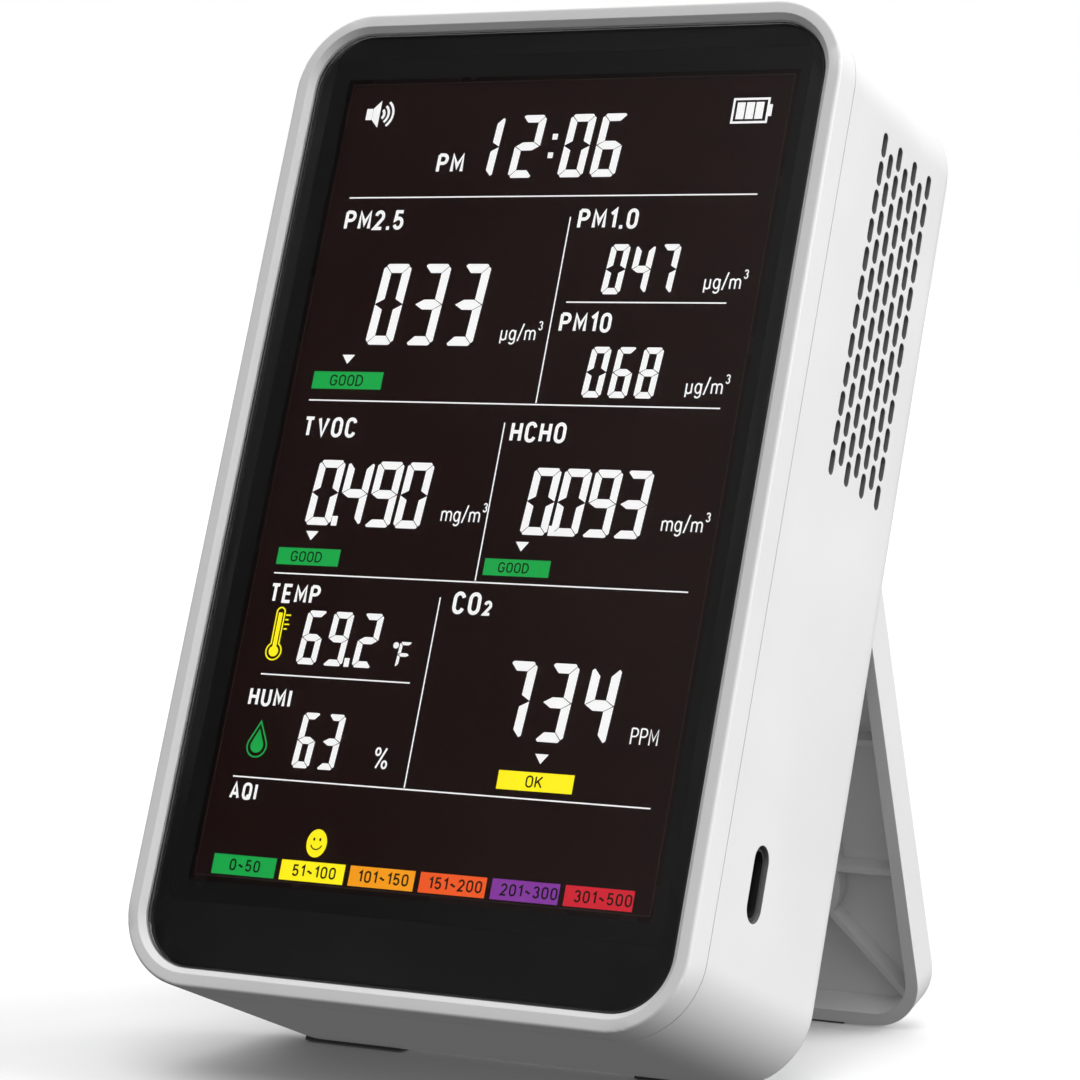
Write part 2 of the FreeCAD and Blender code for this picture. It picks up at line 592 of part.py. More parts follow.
def kickstand():
    """Open-backed tray with a rimmed window, ribs and split hinge barrel."""
    rim_y = HINGE_Y - BARREL_RADIUS
    skin_y = HINGE_Y + BARREL_RADIUS
    slab = stand_slab(0.0, (rim_y, skin_y), HINGE_Z + BARREL_RADIUS)

    def outer_edge(point):
        return abs(point.y - skin_y) < 1e-5

    def below_top(point):
        return outer_edge(point) and point.z < HINGE_Z + BARREL_RADIUS - 1e-4

    chosen = [edge for edge in slab.Edges
              if all(outer_edge(v.Point) for v in edge.Vertexes)
              and below_top(edge.valueAt((edge.FirstParameter + edge.LastParameter) / 2))]
    slab = slab.makeFillet(STAND_FILLET, chosen)
    half = STAND_WIDTH / 2
    profile = block((-half, half), (rim_y, skin_y), (HINGE_Z - STAND_REACH, HINGE_Z))
    profile = profile.fuse(rod_x(HINGE_Y, HINGE_Z, BARREL_RADIUS, (-half, half)))
    slab = slab.common(profile)
    hollow = stand_slab(STAND_WALL, (rim_y - 1, skin_y - STAND_WALL), HINGE_Z + BARREL_RADIUS - 1.9)
    tray = slab.cut(hollow)

    window_height = STAND_WINDOW_FOOT - STAND_WINDOW_TOP
    window_z = HINGE_Z - (STAND_WINDOW_TOP + STAND_WINDOW_FOOT) / 2
    rib_span = (HINGE_Y + BARREL_RADIUS - STAND_WALL - STAND_RIB_HEIGHT, skin_y - STAND_WALL + 0.3)
    lip_span = (HINGE_Y - 0.6, skin_y)
    lip = rounded_plate(STAND_WINDOW_WIDTH + 2 * STAND_LIP, window_height + 2 * STAND_LIP,
                        STAND_WINDOW_RADIUS + STAND_LIP, lip_span, mid_z=window_z)
    lip = lip.common(slab)
    pieces = [tray, lip]
    lip_x = STAND_WINDOW_WIDTH / 2 + STAND_LIP / 2
    wall_x = half - STAND_WALL / 2
    for side in (-1, 1):
        for drop in STAND_RIB_DROPS:
            mid_z = HINGE_Z - drop
            span = sorted((side * lip_x, side * wall_x))
            pieces.append(block(span, rib_span, (mid_z - STAND_RIB / 2, mid_z + STAND_RIB / 2)))
        pieces.append(corner_rib(side, rib_span))
        for offset in (-1, 1):
            mid_x = side * LUG_MID_X + offset * (LUG_SLOT_HALF + EAR_WIDTH / 2)
            pieces.append(rod_x(HINGE_Y, HINGE_Z, BARREL_RADIUS - 0.02,
                                (mid_x - EAR_WIDTH / 2, mid_x + EAR_WIDTH / 2)))
    stand = joined(pieces)

    cuts = [rounded_plate(STAND_WINDOW_WIDTH, window_height, STAND_WINDOW_RADIUS, (rim_y - 1, skin_y + 1),
                          mid_z=window_z)]
    for side in (-1, 1):
        cuts.append(block((side * LUG_MID_X - LUG_SLOT_HALF, side * LUG_MID_X + LUG_SLOT_HALF),
                          (rim_y - 1, skin_y + 1),
                          (HINGE_Z - BARREL_RADIUS - 2 * STAND_GAP, HINGE_Z + BARREL_RADIUS + 1)))
        reach = LUG_SLOT_HALF + EAR_WIDTH + 1
        cuts.append(rod_x(HINGE_Y, HINGE_Z, HINGE_PIN_RADIUS + HINGE_RUNNING_GAP,
                          (side * LUG_MID_X - reach, side * LUG_MID_X + reach)))
    cuts.append(foot_strip_block(0.0))
    return turned_open(stand.cut(cuts))


def corner_rib(side, y_span):
    """Rib from the window's lower corner to the stand's rounded foot corner."""
    near = V(side * (STAND_WINDOW_WIDTH / 2 - 0.6), 0, HINGE_Z - STAND_WINDOW_FOOT + 0.6)
    far = V(side * (STAND_WIDTH / 2 - 2.8), 0, HINGE_Z - STAND_REACH + 2.8)
    run = far - near
    rib = block((0, run.Length), y_span, (-STAND_RIB / 2, STAND_RIB / 2))
    rib.rotate(V(0, 0, 0), Y_AXIS, -math.degrees(math.atan2(run.z, run.x)))
    rib.translate(near)
    return rib


def foot_strip_block(proud):
    """Straight strip let into the stand's foot face."""
    foot_z = HINGE_Z - STAND_REACH
    rim_y = HINGE_Y - BARREL_RADIUS
    half = STRIP_WIDTH / 2
    reach = proud if proud else 1.0
    return block((-half, half), (rim_y + 0.5, rim_y + 0.5 + STRIP_THICK),
                 (foot_z - reach, foot_z + STRIP_SUNK))


def kickstand_foot_strip():
    """Rubber strip along the stand's foot."""
    return turned_open(foot_strip_block(STRIP_PROUD))


def hinge_pins():
    """Two steel pins, each through one casing lug and the two stand ears beside it."""
    reach = LUG_SLOT_HALF + EAR_WIDTH
    pin = rod_x(HINGE_Y, HINGE_Z, HINGE_PIN_RADIUS, (LUG_MID_X - reach, LUG_MID_X + reach))
    pin = chamfer_where(pin, 0.3, lambda p: abs(abs(p.x - LUG_MID_X) - reach) < 1e-5)
    return both_sides(pin)


def hinge_friction_washers():
    """Four spring washers that load the hinge so that the stand stays where it is put."""
    rings = []
    for side in (-1, 1):
        for offset in (-1, 1):
            mid_x = side * LUG_MID_X + offset * (LUG_WIDTH / 2 + HINGE_SIDE_GAP + HINGE_WASHER_THICK / 2)
            span = (mid_x - HINGE_WASHER_THICK / 2, mid_x + HINGE_WASHER_THICK / 2)
            ring = rod_x(HINGE_Y, HINGE_Z, BARREL_RADIUS - 0.5, span)
            rings.append(ring.cut(rod_x(HINGE_Y, HINGE_Z, HINGE_PIN_RADIUS + 0.05, span)))
    return Part.Compound(rings)


# ================================================================ display stack
def lcd_panel():
    """Segment LCD glass."""
    return rounded_plate(LCD_WIDTH, LCD_HEIGHT, 0.5, (LCD_Y, LCD_BACK_Y), mid_z=LCD_MID_Z)


def lcd_light_guide():
    """Clear plastic sheet that spreads the backlight, stopping short of the LCD's pins."""
    foot_z = LCD_FOOT_Z + LCD_PIN_ZONE
    top_z = LCD_MID_Z + LCD_HEIGHT / 2 - 1.0
    half = LCD_WIDTH / 2 - 1.0
    return block((-half, half), (GUIDE_Y, GUIDE_Y + LIGHT_GUIDE_THICK), (foot_z, top_z))


def lcd_frame():
    """White frame that holds the LCD and light guide and carries the main board's posts."""
    width = LCD_WIDTH + 2 * FIT_GAP + 2 * FRAME_WALL
    height = LCD_HEIGHT + 2 * FIT_GAP + 2 * FRAME_WALL
    front_y = LEDGE_BACK_Y + FIT_GAP
    frame = rounded_plate(width, height, FRAME_RADIUS, (front_y, FRAME_BACK_Y), mid_z=LCD_MID_Z)
    pocket = rounded_plate(LCD_WIDTH + 2 * FIT_GAP, LCD_HEIGHT + 2 * FIT_GAP, 0.6,
                           (front_y, FRAME_PLATE_Y), mid_z=LCD_MID_Z)
    pin_half = (LCD_PIN_COUNT * LCD_PIN_PITCH) / 2 + 1
    pin_slot = block((-pin_half, pin_half), (front_y, FRAME_BACK_Y),
                     (LCD_FOOT_Z, LCD_FOOT_Z + LCD_PIN_ZONE - 0.4))
    posts = []
    holes = []
    for side in (-1, 1):
        for post_z in BOARD_POST_ZS:
            posts.append(rod_y(side * BOARD_POST_X, post_z, POST_RADIUS, (FRAME_PLATE_Y, BOARD_Y)))
            holes.append(rod_y(side * BOARD_POST_X, post_z, SMALL_SCREW_RADIUS + SCREW_GAP,
                               (FRAME_PLATE_Y, BOARD_Y)))
    frame = joined([frame.cut([pocket, pin_slot])] + posts)
    return frame.cut(holes)


def lcd_pins():
    """Row of contact pins from the LCD's lower edge to the main board."""
    pins = []
    mid_z = LCD_FOOT_Z + LCD_PIN_ZONE / 2 - 0.2
    half = LCD_PIN_SIZE / 2
    for index in range(LCD_PIN_COUNT):
        mid_x = (index - (LCD_PIN_COUNT - 1) / 2) * LCD_PIN_PITCH
        pins.append(block((mid_x - half, mid_x + half), (LCD_BACK_Y, BOARD_Y), (mid_z - half, mid_z + half)))
    return Part.Compound(pins)


# ================================================================ boards and power
def main_board():
    """Circuit board screwed to the LCD frame."""
    half = BOARD_WIDTH / 2
    mid_z = (BOARD_TOP_Z + BOARD_FOOT_Z) / 2
    board = rounded_plate(2 * half, BOARD_TOP_Z - BOARD_FOOT_Z, 2.0, (BOARD_Y, BOARD_BACK_Y), mid_z=mid_z)
    holes = [rod_y(side * BOARD_POST_X, post_z, SMALL_SCREW_RADIUS + FIT_GAP, (BOARD_Y, BOARD_BACK_Y))
             for side in (-1, 1) for post_z in BOARD_POST_ZS]
    return board.cut(holes)


def small_screw(mid_x, mid_z, head_y, towards):
    """Pan-head screw whose head's underside is at head_y; towards is the shank's Y direction."""
    head_span = sorted((head_y, head_y - towards * SMALL_HEAD_HEIGHT))
    shank_span = sorted((head_y - towards * 0.2, head_y + towards * SMALL_SCREW_LENGTH))
    screw = joined([rod_y(mid_x, mid_z, SMALL_HEAD_RADIUS, head_span),
                    rod_y(mid_x, mid_z, SMALL_SCREW_RADIUS, shank_span)])
    if towards < 0:
        return screw.cut(cross_slot(mid_x, mid_z, head_span[1], 0.9))
    return screw


def main_board_screws():
    """Four screws through the main board into the LCD frame's posts."""
    return Part.Compound([small_screw(side * BOARD_POST_X, post_z, BOARD_BACK_Y, -1)
                          for side in (-1, 1) for post_z in BOARD_POST_ZS])


def board_chips():
    """Processor and other packages on the back of the main board."""
    return Part.Compound([block((x - w / 2, x + w / 2), (BOARD_BACK_Y, BOARD_BACK_Y + t),
                                (z - h / 2, z + h / 2))
                          for x, z, w, h, t in CHIPS])


def battery_pack():
    """Flat lithium pouch cell taped to the inside of the stand recess."""
    back_y = RECESS_INNER_Y - BATTERY_TAPE
    width, thick, height = BATTERY_SIZE
    cell = rounded_plate(width, height, BATTERY_RADIUS, (back_y - thick, back_y), BATTERY_MID_X,
                         BATTERY_MID_Z)
    return fillet_where(cell, 1.2, lambda p: abs(p.y - back_y + thick) < 1e-5)


def battery_tape():
    """Foam tape behind the battery."""
    width, _, height = BATTERY_SIZE
    return rounded_plate(width - 8, height - 8, 1.5, (RECESS_INNER_Y - BATTERY_TAPE, RECESS_INNER_Y),
                         BATTERY_MID_X, BATTERY_MID_Z)


def battery_connector():
    """White plug housing on the main board for the battery's leads."""
    width, thick, height = JST_SIZE
    return block((BATTERY_MID_X - width / 2, BATTERY_MID_X + width / 2),
                 (BOARD_BACK_Y, BOARD_BACK_Y + thick), (JST_Z - height / 2, JST_Z + height / 2))


def battery_leads():
    """Two short leads that bend from the connector's top down to the battery's edge."""
    lead_y = BOARD_BACK_Y + JST_SIZE[1]
    battery_top = BATTERY_MID_Z + BATTERY_SIZE[2] / 2
    battery_y = RECESS_INNER_Y - BATTERY_TAPE - BATTERY_SIZE[1] / 2
    leads = []
    for offset in (-LEAD_SPACING / 2, LEAD_SPACING / 2):
        lead_x = BATTERY_MID_X + offset
        turn = V(lead_x, battery_y, JST_Z)
        start = V(lead_x, lead_y, JST_Z)
        end = V(lead_x, battery_y, battery_top)
        leads.append(bent_wire(start, turn, end, LEAD_BEND, LEAD_RADIUS))
    return Part.Compound(leads)


def bent_wire(start, turn, end, bend, radius):
    """Round wire of two straight runs joined by one tangent quarter arc."""
    first = (start - turn).normalize()
    second = (end - turn).normalize()
    arc_start = turn + first * bend
    arc_end = turn + second * bend
    centre = turn + first * bend + second * bend
    arc_middle = centre - (first + second).normalize() * bend
    path = Part.Wire([Part.LineSegment(start, arc_start).toShape(),
                      Part.Arc(arc_start, arc_middle, arc_end).toShape(),
                      Part.LineSegment(arc_end, end).toShape()])
    section = Part.Wire(Part.makeCircle(radius, start, first))
    return path.makePipeShell([section], True, False)


# ================================================================ USB-C socket
def usb_span():
    """Start and end of the socket's shell along X."""
    mouth_x = HALF_WIDTH - USB_RECESS
    return mouth_x - USB_LENGTH, mouth_x


def usb_c_shell():
    """Formed metal shell of the socket, closed at its inner end."""
    left, right = usb_span()
    outside = slot_along("x", USB_WIDTH, USB_THICK, (left, right), USB_Y, USB_Z)
    inside = slot_along("x", USB_WIDTH - 2 * USB_SHEET, USB_THICK - 2 * USB_SHEET, (left + 1.2, right),
                        USB_Y, USB_Z)
    return outside.cut(inside)


def usb_c_tongue():
    """Contact tongue inside the socket."""
    left, _ = usb_span()
    width, thick, length = USB_TONGUE
    return block((left + 1.2, left + 1.2 + length), (USB_Y - thick / 2, USB_Y + thick / 2),
                 (USB_Z - width / 2, USB_Z + width / 2))


# ================================================================ particle sensor and fan
def particle_sensor_case():
    """Five-sided air chamber beside the fan."""
    spans = ((SENSOR_LEFT_X, FAN_LEFT_X), (SENSOR_FRONT_Y, SENSOR_BACK_Y),
             (SENSOR_FOOT_Z, SENSOR_FOOT_Z + SENSOR_HEIGHT))
    outside = block(*spans)
    wall = SENSOR_WALL
    inside = block((SENSOR_LEFT_X, FAN_LEFT_X - wall), (spans[1][0] + wall, spans[1][1] - wall),
                   (spans[2][0] + wall, spans[2][1] - wall))
    port = rod_x(FAN_Y, FAN_Z, FAN_BORE_RADIUS - 1, (FAN_LEFT_X - wall, FAN_LEFT_X))
    laser_port = Part.makeCylinder(LASER_RADIUS + FIT_GAP, wall, V(laser_x(), FAN_Y, SENSOR_FOOT_Z), Z_AXIS)
    return outside.cut([inside, port, laser_port])


def laser_x():
    """Where the laser sits across the sensor."""
    return (SENSOR_LEFT_X + FAN_LEFT_X) / 2 - 1


def particle_sensor_cover():
    """Metal lid on the sensor's open side."""
    return block((SENSOR_LEFT_X - SENSOR_COVER, SENSOR_LEFT_X), (SENSOR_FRONT_Y, SENSOR_BACK_Y),
                 (SENSOR_FOOT_Z, SENSOR_FOOT_Z + SENSOR_HEIGHT))


def laser_diode():
    """Laser module pushed through the sensor's floor."""
    low_z = SENSOR_FOOT_Z + 0.4
    return Part.makeCylinder(LASER_RADIUS, LASER_LENGTH, V(laser_x(), FAN_Y, low_z), Z_AXIS)


def scatter_detector():
    """Photodiode board on the sensor's front wall."""
    width, thick, height = DETECTOR_SIZE
    low_y = SENSOR_FRONT_Y + SENSOR_WALL
    return block((laser_x() - width / 2 + 1, laser_x() + width / 2 - 1), (low_y, low_y + thick),
                 (FAN_Z - height / 2, FAN_Z + height / 2))


def fan_frame():
    """Square fan housing with spokes that carry the motor cup."""
    half = FAN_SIDE / 2
    body = block((FAN_LEFT_X, FAN_RIGHT_X), (FAN_Y - half, FAN_Y + half), (FAN_Z - half, FAN_Z + half))
    body = fillet_where(body, 2.0, lambda p: abs(abs(p.y - FAN_Y) - half) < 1e-5
                        and abs(abs(p.z - FAN_Z) - half) < 1e-5)
    body = body.cut(rod_x(FAN_Y, FAN_Z, FAN_BORE_RADIUS, (FAN_LEFT_X - 1, FAN_RIGHT_X + 1)))
    pieces = [body, rod_x(FAN_Y, FAN_Z, FAN_CUP_RADIUS, (FAN_LEFT_X, FAN_LEFT_X + FAN_CUP_DEPTH))]
    for index in range(FAN_SPOKES):
        spoke = block((FAN_LEFT_X, FAN_LEFT_X + 1.0),
                      (FAN_Y - FAN_SPOKE_WIDTH / 2, FAN_Y + FAN_SPOKE_WIDTH / 2),
                      (FAN_Z, FAN_Z + FAN_BORE_RADIUS + 0.5))
        spoke.rotate(V(0, FAN_Y, FAN_Z), X_AXIS, 360.0 / FAN_SPOKES * index + 30)
        pieces.append(spoke)
    frame = joined(pieces)
    return frame.cut(rod_x(FAN_Y, FAN_Z, FAN_BEARING_RADIUS, (FAN_LEFT_X, FAN_LEFT_X + FAN_CUP_DEPTH)))


def fan_bearing():
    """Sleeve bearing in the motor cup."""
    span = (FAN_LEFT_X, FAN_LEFT_X + FAN_CUP_DEPTH)
    sleeve = rod_x(FAN_Y, FAN_Z, FAN_BEARING_RADIUS, span)
    return sleeve.cut(rod_x(FAN_Y, FAN_Z, FAN_SHAFT_RADIUS + 0.03, span))


def fan_rotor():
    """Hub with pitched blades."""
    hub_span = (FAN_RIGHT_X - 0.5 - FAN_HUB_DEPTH, FAN_RIGHT_X - 0.5)
    hub = rod_x(FAN_Y, FAN_Z, FAN_HUB_RADIUS, hub_span)
    hub = fillet_where(hub, 0.6, lambda p: abs(p.x - hub_span[1]) < 1e-5)
    tip = FAN_BORE_RADIUS - FAN_TIP_GAP
    sweep_zone = rod_x(FAN_Y, FAN_Z, tip, hub_span).cut(rod_x(FAN_Y, FAN_Z, FAN_HUB_RADIUS - 0.3, hub_span))
    blades = []
    for index in range(FAN_BLADES):
        mid_x = (hub_span[0] + hub_span[1]) / 2
        blade = block((mid_x - 4, mid_x + 4), (FAN_Y - FAN_BLADE_THICK / 2, FAN_Y + FAN_BLADE_THICK / 2),
                      (FAN_Z + FAN_HUB_RADIUS - 0.6, FAN_Z + tip + 1))
        blade.rotate(V(mid_x, FAN_Y, FAN_Z), Z_AXIS, FAN_BLADE_ANGLE)
        blade.rotate(V(mid_x, FAN_Y, FAN_Z), X_AXIS, 360.0 / FAN_BLADES * index)
        blades.append(blade.common(sweep_zone))
    rotor = joined([hub] + blades)
    return rotor.cut(rod_x(FAN_Y, FAN_Z, FAN_SHAFT_RADIUS + 0.01, (hub_span[0], hub_span[0] + 2.4)))


def fan_shaft():
    """Shaft pressed into the rotor and turning in the bearing."""
    return rod_x(FAN_Y, FAN_Z, FAN_SHAFT_RADIUS, (FAN_LEFT_X + 0.2, FAN_RIGHT_X - 0.5 - FAN_HUB_DEPTH + 2.4))


def fan_gasket():
    """Foam ring between the fan and the dust filter."""
    half = FAN_SIDE / 2
    span = (FAN_RIGHT_X, INNER_HALF_WIDTH - FILTER_THICK)
    high_y = VENT_FIRST_Y + (VENT_COLUMNS - 1) * VENT_PITCH_Y + VENT_WIDTH / 2 + FILTER_MARGIN
    ring = block(span, (FAN_Y - half, min(FAN_Y + half, high_y)), (FAN_Z - half, FAN_Z + half))
    return ring.cut(rod_x(FAN_Y, FAN_Z, FAN_BORE_RADIUS, span)).Solids[0]


# ================================================================ gas sensors and buzzer
def chip_on_board(size, middle):
    """Box-shaped package on the back of the main board."""
    width, thick, height = size
    return block((middle[0] - width / 2, middle[0] + width / 2), (BOARD_BACK_Y, BOARD_BACK_Y + thick),
                 (middle[1] - height / 2, middle[1] + height / 2))


def co2_sensor():
    """Infrared carbon dioxide cell in a folded metal can with two filter windows."""
    can = chip_on_board(CO2_SIZE, CO2_MID)
    top_y = BOARD_BACK_Y + CO2_SIZE[1]
    can = fillet_where(can, 0.8, lambda p: abs(p.y - top_y) < 1e-5)
    windows = []
    for offset in (-6.5, 6.5):
        windows.append(rounded_plate(9.0, 5.0, 1.0, (top_y - 0.3, top_y + 0.1), CO2_MID[0],
                                     CO2_MID[1] + offset))
    return can.cut(windows)


def formaldehyde_cell():
    """Round electrochemical cell with a gas inlet."""
    top_y = BOARD_BACK_Y + GAS_CELL_HEIGHT
    cell = rod_y(GAS_CELL_MID[0], GAS_CELL_MID[1], GAS_CELL_RADIUS, (BOARD_BACK_Y, top_y))
    cell = fillet_where(cell, 0.6, lambda p: abs(p.y - top_y) < 1e-5)
    return cell.cut(rod_y(GAS_CELL_MID[0], GAS_CELL_MID[1], 2.0, (top_y - 0.8, top_y)))


def voc_sensor():
    """Metal-oxide gas sensor package."""
    chip = chip_on_board(VOC_SIZE, VOC_MID)
    top_y = BOARD_BACK_Y + VOC_SIZE[1]
    return chip.cut(rod_y(VOC_MID[0], VOC_MID[1], 0.6, (top_y - 0.3, top_y)))


def climate_sensor():
    """Temperature and humidity sensor package."""
    chip = chip_on_board(CLIMATE_SIZE, CLIMATE_MID)
    top_y = BOARD_BACK_Y + CLIMATE_SIZE[1]
    return chip.cut(rod_y(CLIMATE_MID[0], CLIMATE_MID[1], 0.5, (top_y - 0.3, top_y)))


def buzzer():
    """Alarm buzzer."""
    top_y = BOARD_BACK_Y + BUZZER_HEIGHT
    can = rod_y(BUZZER_MID[0], BUZZER_MID[1], BUZZER_RADIUS, (BOARD_BACK_Y, top_y))
    return can.cut(rod_y(BUZZER_MID[0], BUZZER_MID[1], 1.2, (top_y - 2, top_y)))


# ================================================================ push-buttons
def push_button(index):
    """Round key cap with an inner flange that keeps it in its hole."""
    mid_x = BUTTON_XS[index]
    cap = rod_y(mid_x, BUTTON_Z, BUTTON_RADIUS, (FLANGE_Y, BUTTON_BACK_Y))
    cap = fillet_where(cap, BUTTON_CROWN, lambda p: abs(p.y - BUTTON_BACK_Y) < 1e-5)
    flange = rod_y(mid_x, BUTTON_Z, BUTTON_RADIUS + BUTTON_FLANGE, (FLANGE_Y, FLANGE_Y + BUTTON_FLANGE_THICK))
    return joined([cap, flange])


def button_board():
    """Narrow circuit board behind the push-buttons."""
    mid_x = (KEY_BOARD_LEFT + KEY_BOARD_RIGHT) / 2
    board = rounded_plate(KEY_BOARD_RIGHT - KEY_BOARD_LEFT, KEY_BOARD_HEIGHT, 1.0, (KEY_BOARD_Y, SWITCH_Y),
                          mid_x, BUTTON_Z)
    return board.cut([rod_y(post_x, BUTTON_Z, SMALL_SCREW_RADIUS + FIT_GAP, (KEY_BOARD_Y, SWITCH_Y))
                      for post_x in KEY_POST_XS])


def button_board_screws():
    """Two screws that hold the button board to the rear case's posts."""
    length = min(SMALL_SCREW_LENGTH, INNER_BACK_Y - KEY_BOARD_Y)
    screws = []
    for post_x in KEY_POST_XS:
        head = rod_y(post_x, BUTTON_Z, SMALL_HEAD_RADIUS, (KEY_BOARD_Y - SMALL_HEAD_HEIGHT, KEY_BOARD_Y))
        shank = rod_y(post_x, BUTTON_Z, SMALL_SCREW_RADIUS, (KEY_BOARD_Y - 0.2, KEY_BOARD_Y + length - 0.3))
        screws.append(joined([head, shank]))
    return Part.Compound(screws)


def button_switches():
    """Four tact switches on the button board."""
    half = SWITCH_SIZE / 2
    switches = []
    for mid_x in BUTTON_XS:
        body = block((mid_x - half, mid_x + half), (SWITCH_Y, SWITCH_Y + SWITCH_THICK),
                     (BUTTON_Z - half, BUTTON_Z + half))
        plunger = rod_y(mid_x, BUTTON_Z, SWITCH_PLUNGER_RADIUS, (SWITCH_Y + SWITCH_THICK - 0.2, PLUNGER_Y))
        switches.append(joined([body, plunger]))
    return Part.Compound(switches)


def button_ribbon():
    """Flat ribbon from the button board forward to the main board."""
    mid_x = BUTTON_XS[2] + 5.0
    span = (mid_x - RIBBON_WIDTH / 2, mid_x + RIBBON_WIDTH / 2)
    top_z = BUTTON_Z + KEY_BOARD_HEIGHT / 2 - 1.0
    return block(span, (BOARD_BACK_Y, KEY_BOARD_Y), (top_z - RIBBON_THICK, top_z))


# ================================================================ assembly
NODES = {
    "front_cover": front_cover,
    "display_window": display_window,
    "window_adhesive": window_adhesive,
    "rear_case": rear_case,
    "case_screws": case_screws,
    "right_dust_filter": lambda: side_filter(1),
    "left_dust_filter": lambda: side_filter(-1),
    "base_foot_pads": base_foot_pads,
    "kickstand": kickstand,
    "kickstand_foot_strip": kickstand_foot_strip,
    "hinge_pins": hinge_pins,
    "hinge_friction_washers": hinge_friction_washers,
    "lcd_panel": lcd_panel,
    "lcd_light_guide": lcd_light_guide,
    "lcd_frame": lcd_frame,
    "lcd_pins": lcd_pins,
    "main_board": main_board,
    "main_board_screws": main_board_screws,
    "board_chips": board_chips,
    "battery_pack": battery_pack,
    "battery_tape": battery_tape,
    "battery_connector": battery_connector,
    "battery_leads": battery_leads,
    "usb_c_shell": usb_c_shell,
    "usb_c_tongue": usb_c_tongue,
    "particle_sensor_case": particle_sensor_case,
    "particle_sensor_cover": particle_sensor_cover,
    "laser_diode": laser_diode,
    "scatter_detector": scatter_detector,
    "fan_frame": fan_frame,
    "fan_bearing": fan_bearing,
    "fan_rotor": fan_rotor,
    "fan_shaft": fan_shaft,
    "fan_gasket": fan_gasket,
    "co2_sensor": co2_sensor,
    "formaldehyde_cell": formaldehyde_cell,
    "voc_sensor": voc_sensor,
    "climate_sensor": climate_sensor,
    "buzzer": buzzer,
    "button_board": button_board,
    "button_board_screws": button_board_screws,
    "button_switches": button_switches,
    "button_ribbon": button_ribbon,
}
for button_index, button_name in enumerate(BUTTON_NAMES):
    NODES[button_name] = lambda index=button_index: push_button(index)


def lean_angle():
    """Lean at which the foot pads and the stand's foot strip touch one level surface.

    The pads' outer face is an arc about the lower back edge's centre line, and
    the strip touches with its front lower corner, so the surface is the line
    from that corner that is tangent to the arc.
    """
    swing = math.radians(STAND_OPEN_ANGLE)
    down = STAND_REACH + STRIP_PROUD
    out = 0.5 - BARREL_RADIUS
    foot_y = HINGE_Y + down * math.sin(swing) + out * math.cos(swing)
    foot_z = HINGE_Z - down * math.cos(swing) + out * math.sin(swing)
    run = foot_y - EDGE_Y
    rise = foot_z - EDGE_Z
    return math.degrees(math.atan2(rise, run) + math.asin((BACK_FILLET + PAD_PROUD) / math.hypot(run, rise)))


def stand_on_ground(shapes):
    """Lean every piece back, drop the set onto z = 0 and centre it on X and Y."""
    lean = lean_angle()
    placed = {}
    for name, shape in shapes.items():
        placed[name] = shape.copy()
        placed[name].rotate(V(0, 0, 0), X_AXIS, -lean)
    box = Part.Compound(list(placed.values())).optimalBoundingBox(False)
    shift = V(0, -(box.YMin + box.YMax) / 2, -box.ZMin)
    for shape in placed.values():
        shape.translate(shift)
    return placed, lean, shift


def main():
    """Build every node and write one STEP file each."""
    os.makedirs("parts", exist_ok=True)
    shapes = {name: make() for name, make in NODES.items()}
    placed, lean, shift = stand_on_ground(shapes)
    print("lean", round(lean, 3), "shift", shift)
    for name, shape in placed.items():
        solids = shape.Solids
        print(name, "solids", len(solids), "valid", shape.isValid(), "volume", round(shape.Volume, 1))
        shape.exportStep(os.path.join("parts", name + ".step"))
    return placed, lean, shift


placed_shapes, lean_used, shift_used = main()
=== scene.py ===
"""Finished look of a desktop air quality monitor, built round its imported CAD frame.

The casing, stand and inner parts keep their CAD shapes.  This script gives each
of them its finish, and adds what is printed, lit or inked: the black border
under the cover glass, the lit marks of the display and the key symbols.  Display
places are millimetres from the middle of the cover glass: across to the viewer's
right, and up along the leaning display.
"""

import json
import math

import bmesh
import bpy
import numpy as np
from mathutils import Matrix, Vector

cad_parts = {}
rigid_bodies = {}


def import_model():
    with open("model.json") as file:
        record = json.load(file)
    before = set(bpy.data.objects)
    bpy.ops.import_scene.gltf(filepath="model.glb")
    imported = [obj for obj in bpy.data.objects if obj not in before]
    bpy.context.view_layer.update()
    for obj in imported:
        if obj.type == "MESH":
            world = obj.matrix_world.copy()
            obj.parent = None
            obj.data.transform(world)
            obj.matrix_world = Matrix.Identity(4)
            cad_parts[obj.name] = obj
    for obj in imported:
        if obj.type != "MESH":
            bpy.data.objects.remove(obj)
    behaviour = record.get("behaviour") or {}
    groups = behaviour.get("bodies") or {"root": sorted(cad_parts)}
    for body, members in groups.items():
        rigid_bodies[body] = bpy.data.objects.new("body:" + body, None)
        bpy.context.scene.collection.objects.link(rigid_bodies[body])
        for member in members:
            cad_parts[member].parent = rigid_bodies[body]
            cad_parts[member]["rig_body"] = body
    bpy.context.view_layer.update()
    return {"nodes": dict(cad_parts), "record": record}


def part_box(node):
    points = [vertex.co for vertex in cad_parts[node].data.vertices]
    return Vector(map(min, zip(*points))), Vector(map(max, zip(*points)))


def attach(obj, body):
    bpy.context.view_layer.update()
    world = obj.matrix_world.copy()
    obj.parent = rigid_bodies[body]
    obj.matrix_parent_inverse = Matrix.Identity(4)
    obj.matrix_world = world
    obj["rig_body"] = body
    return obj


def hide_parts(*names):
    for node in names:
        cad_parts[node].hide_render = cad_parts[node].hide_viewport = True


MM = 0.001
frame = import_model()

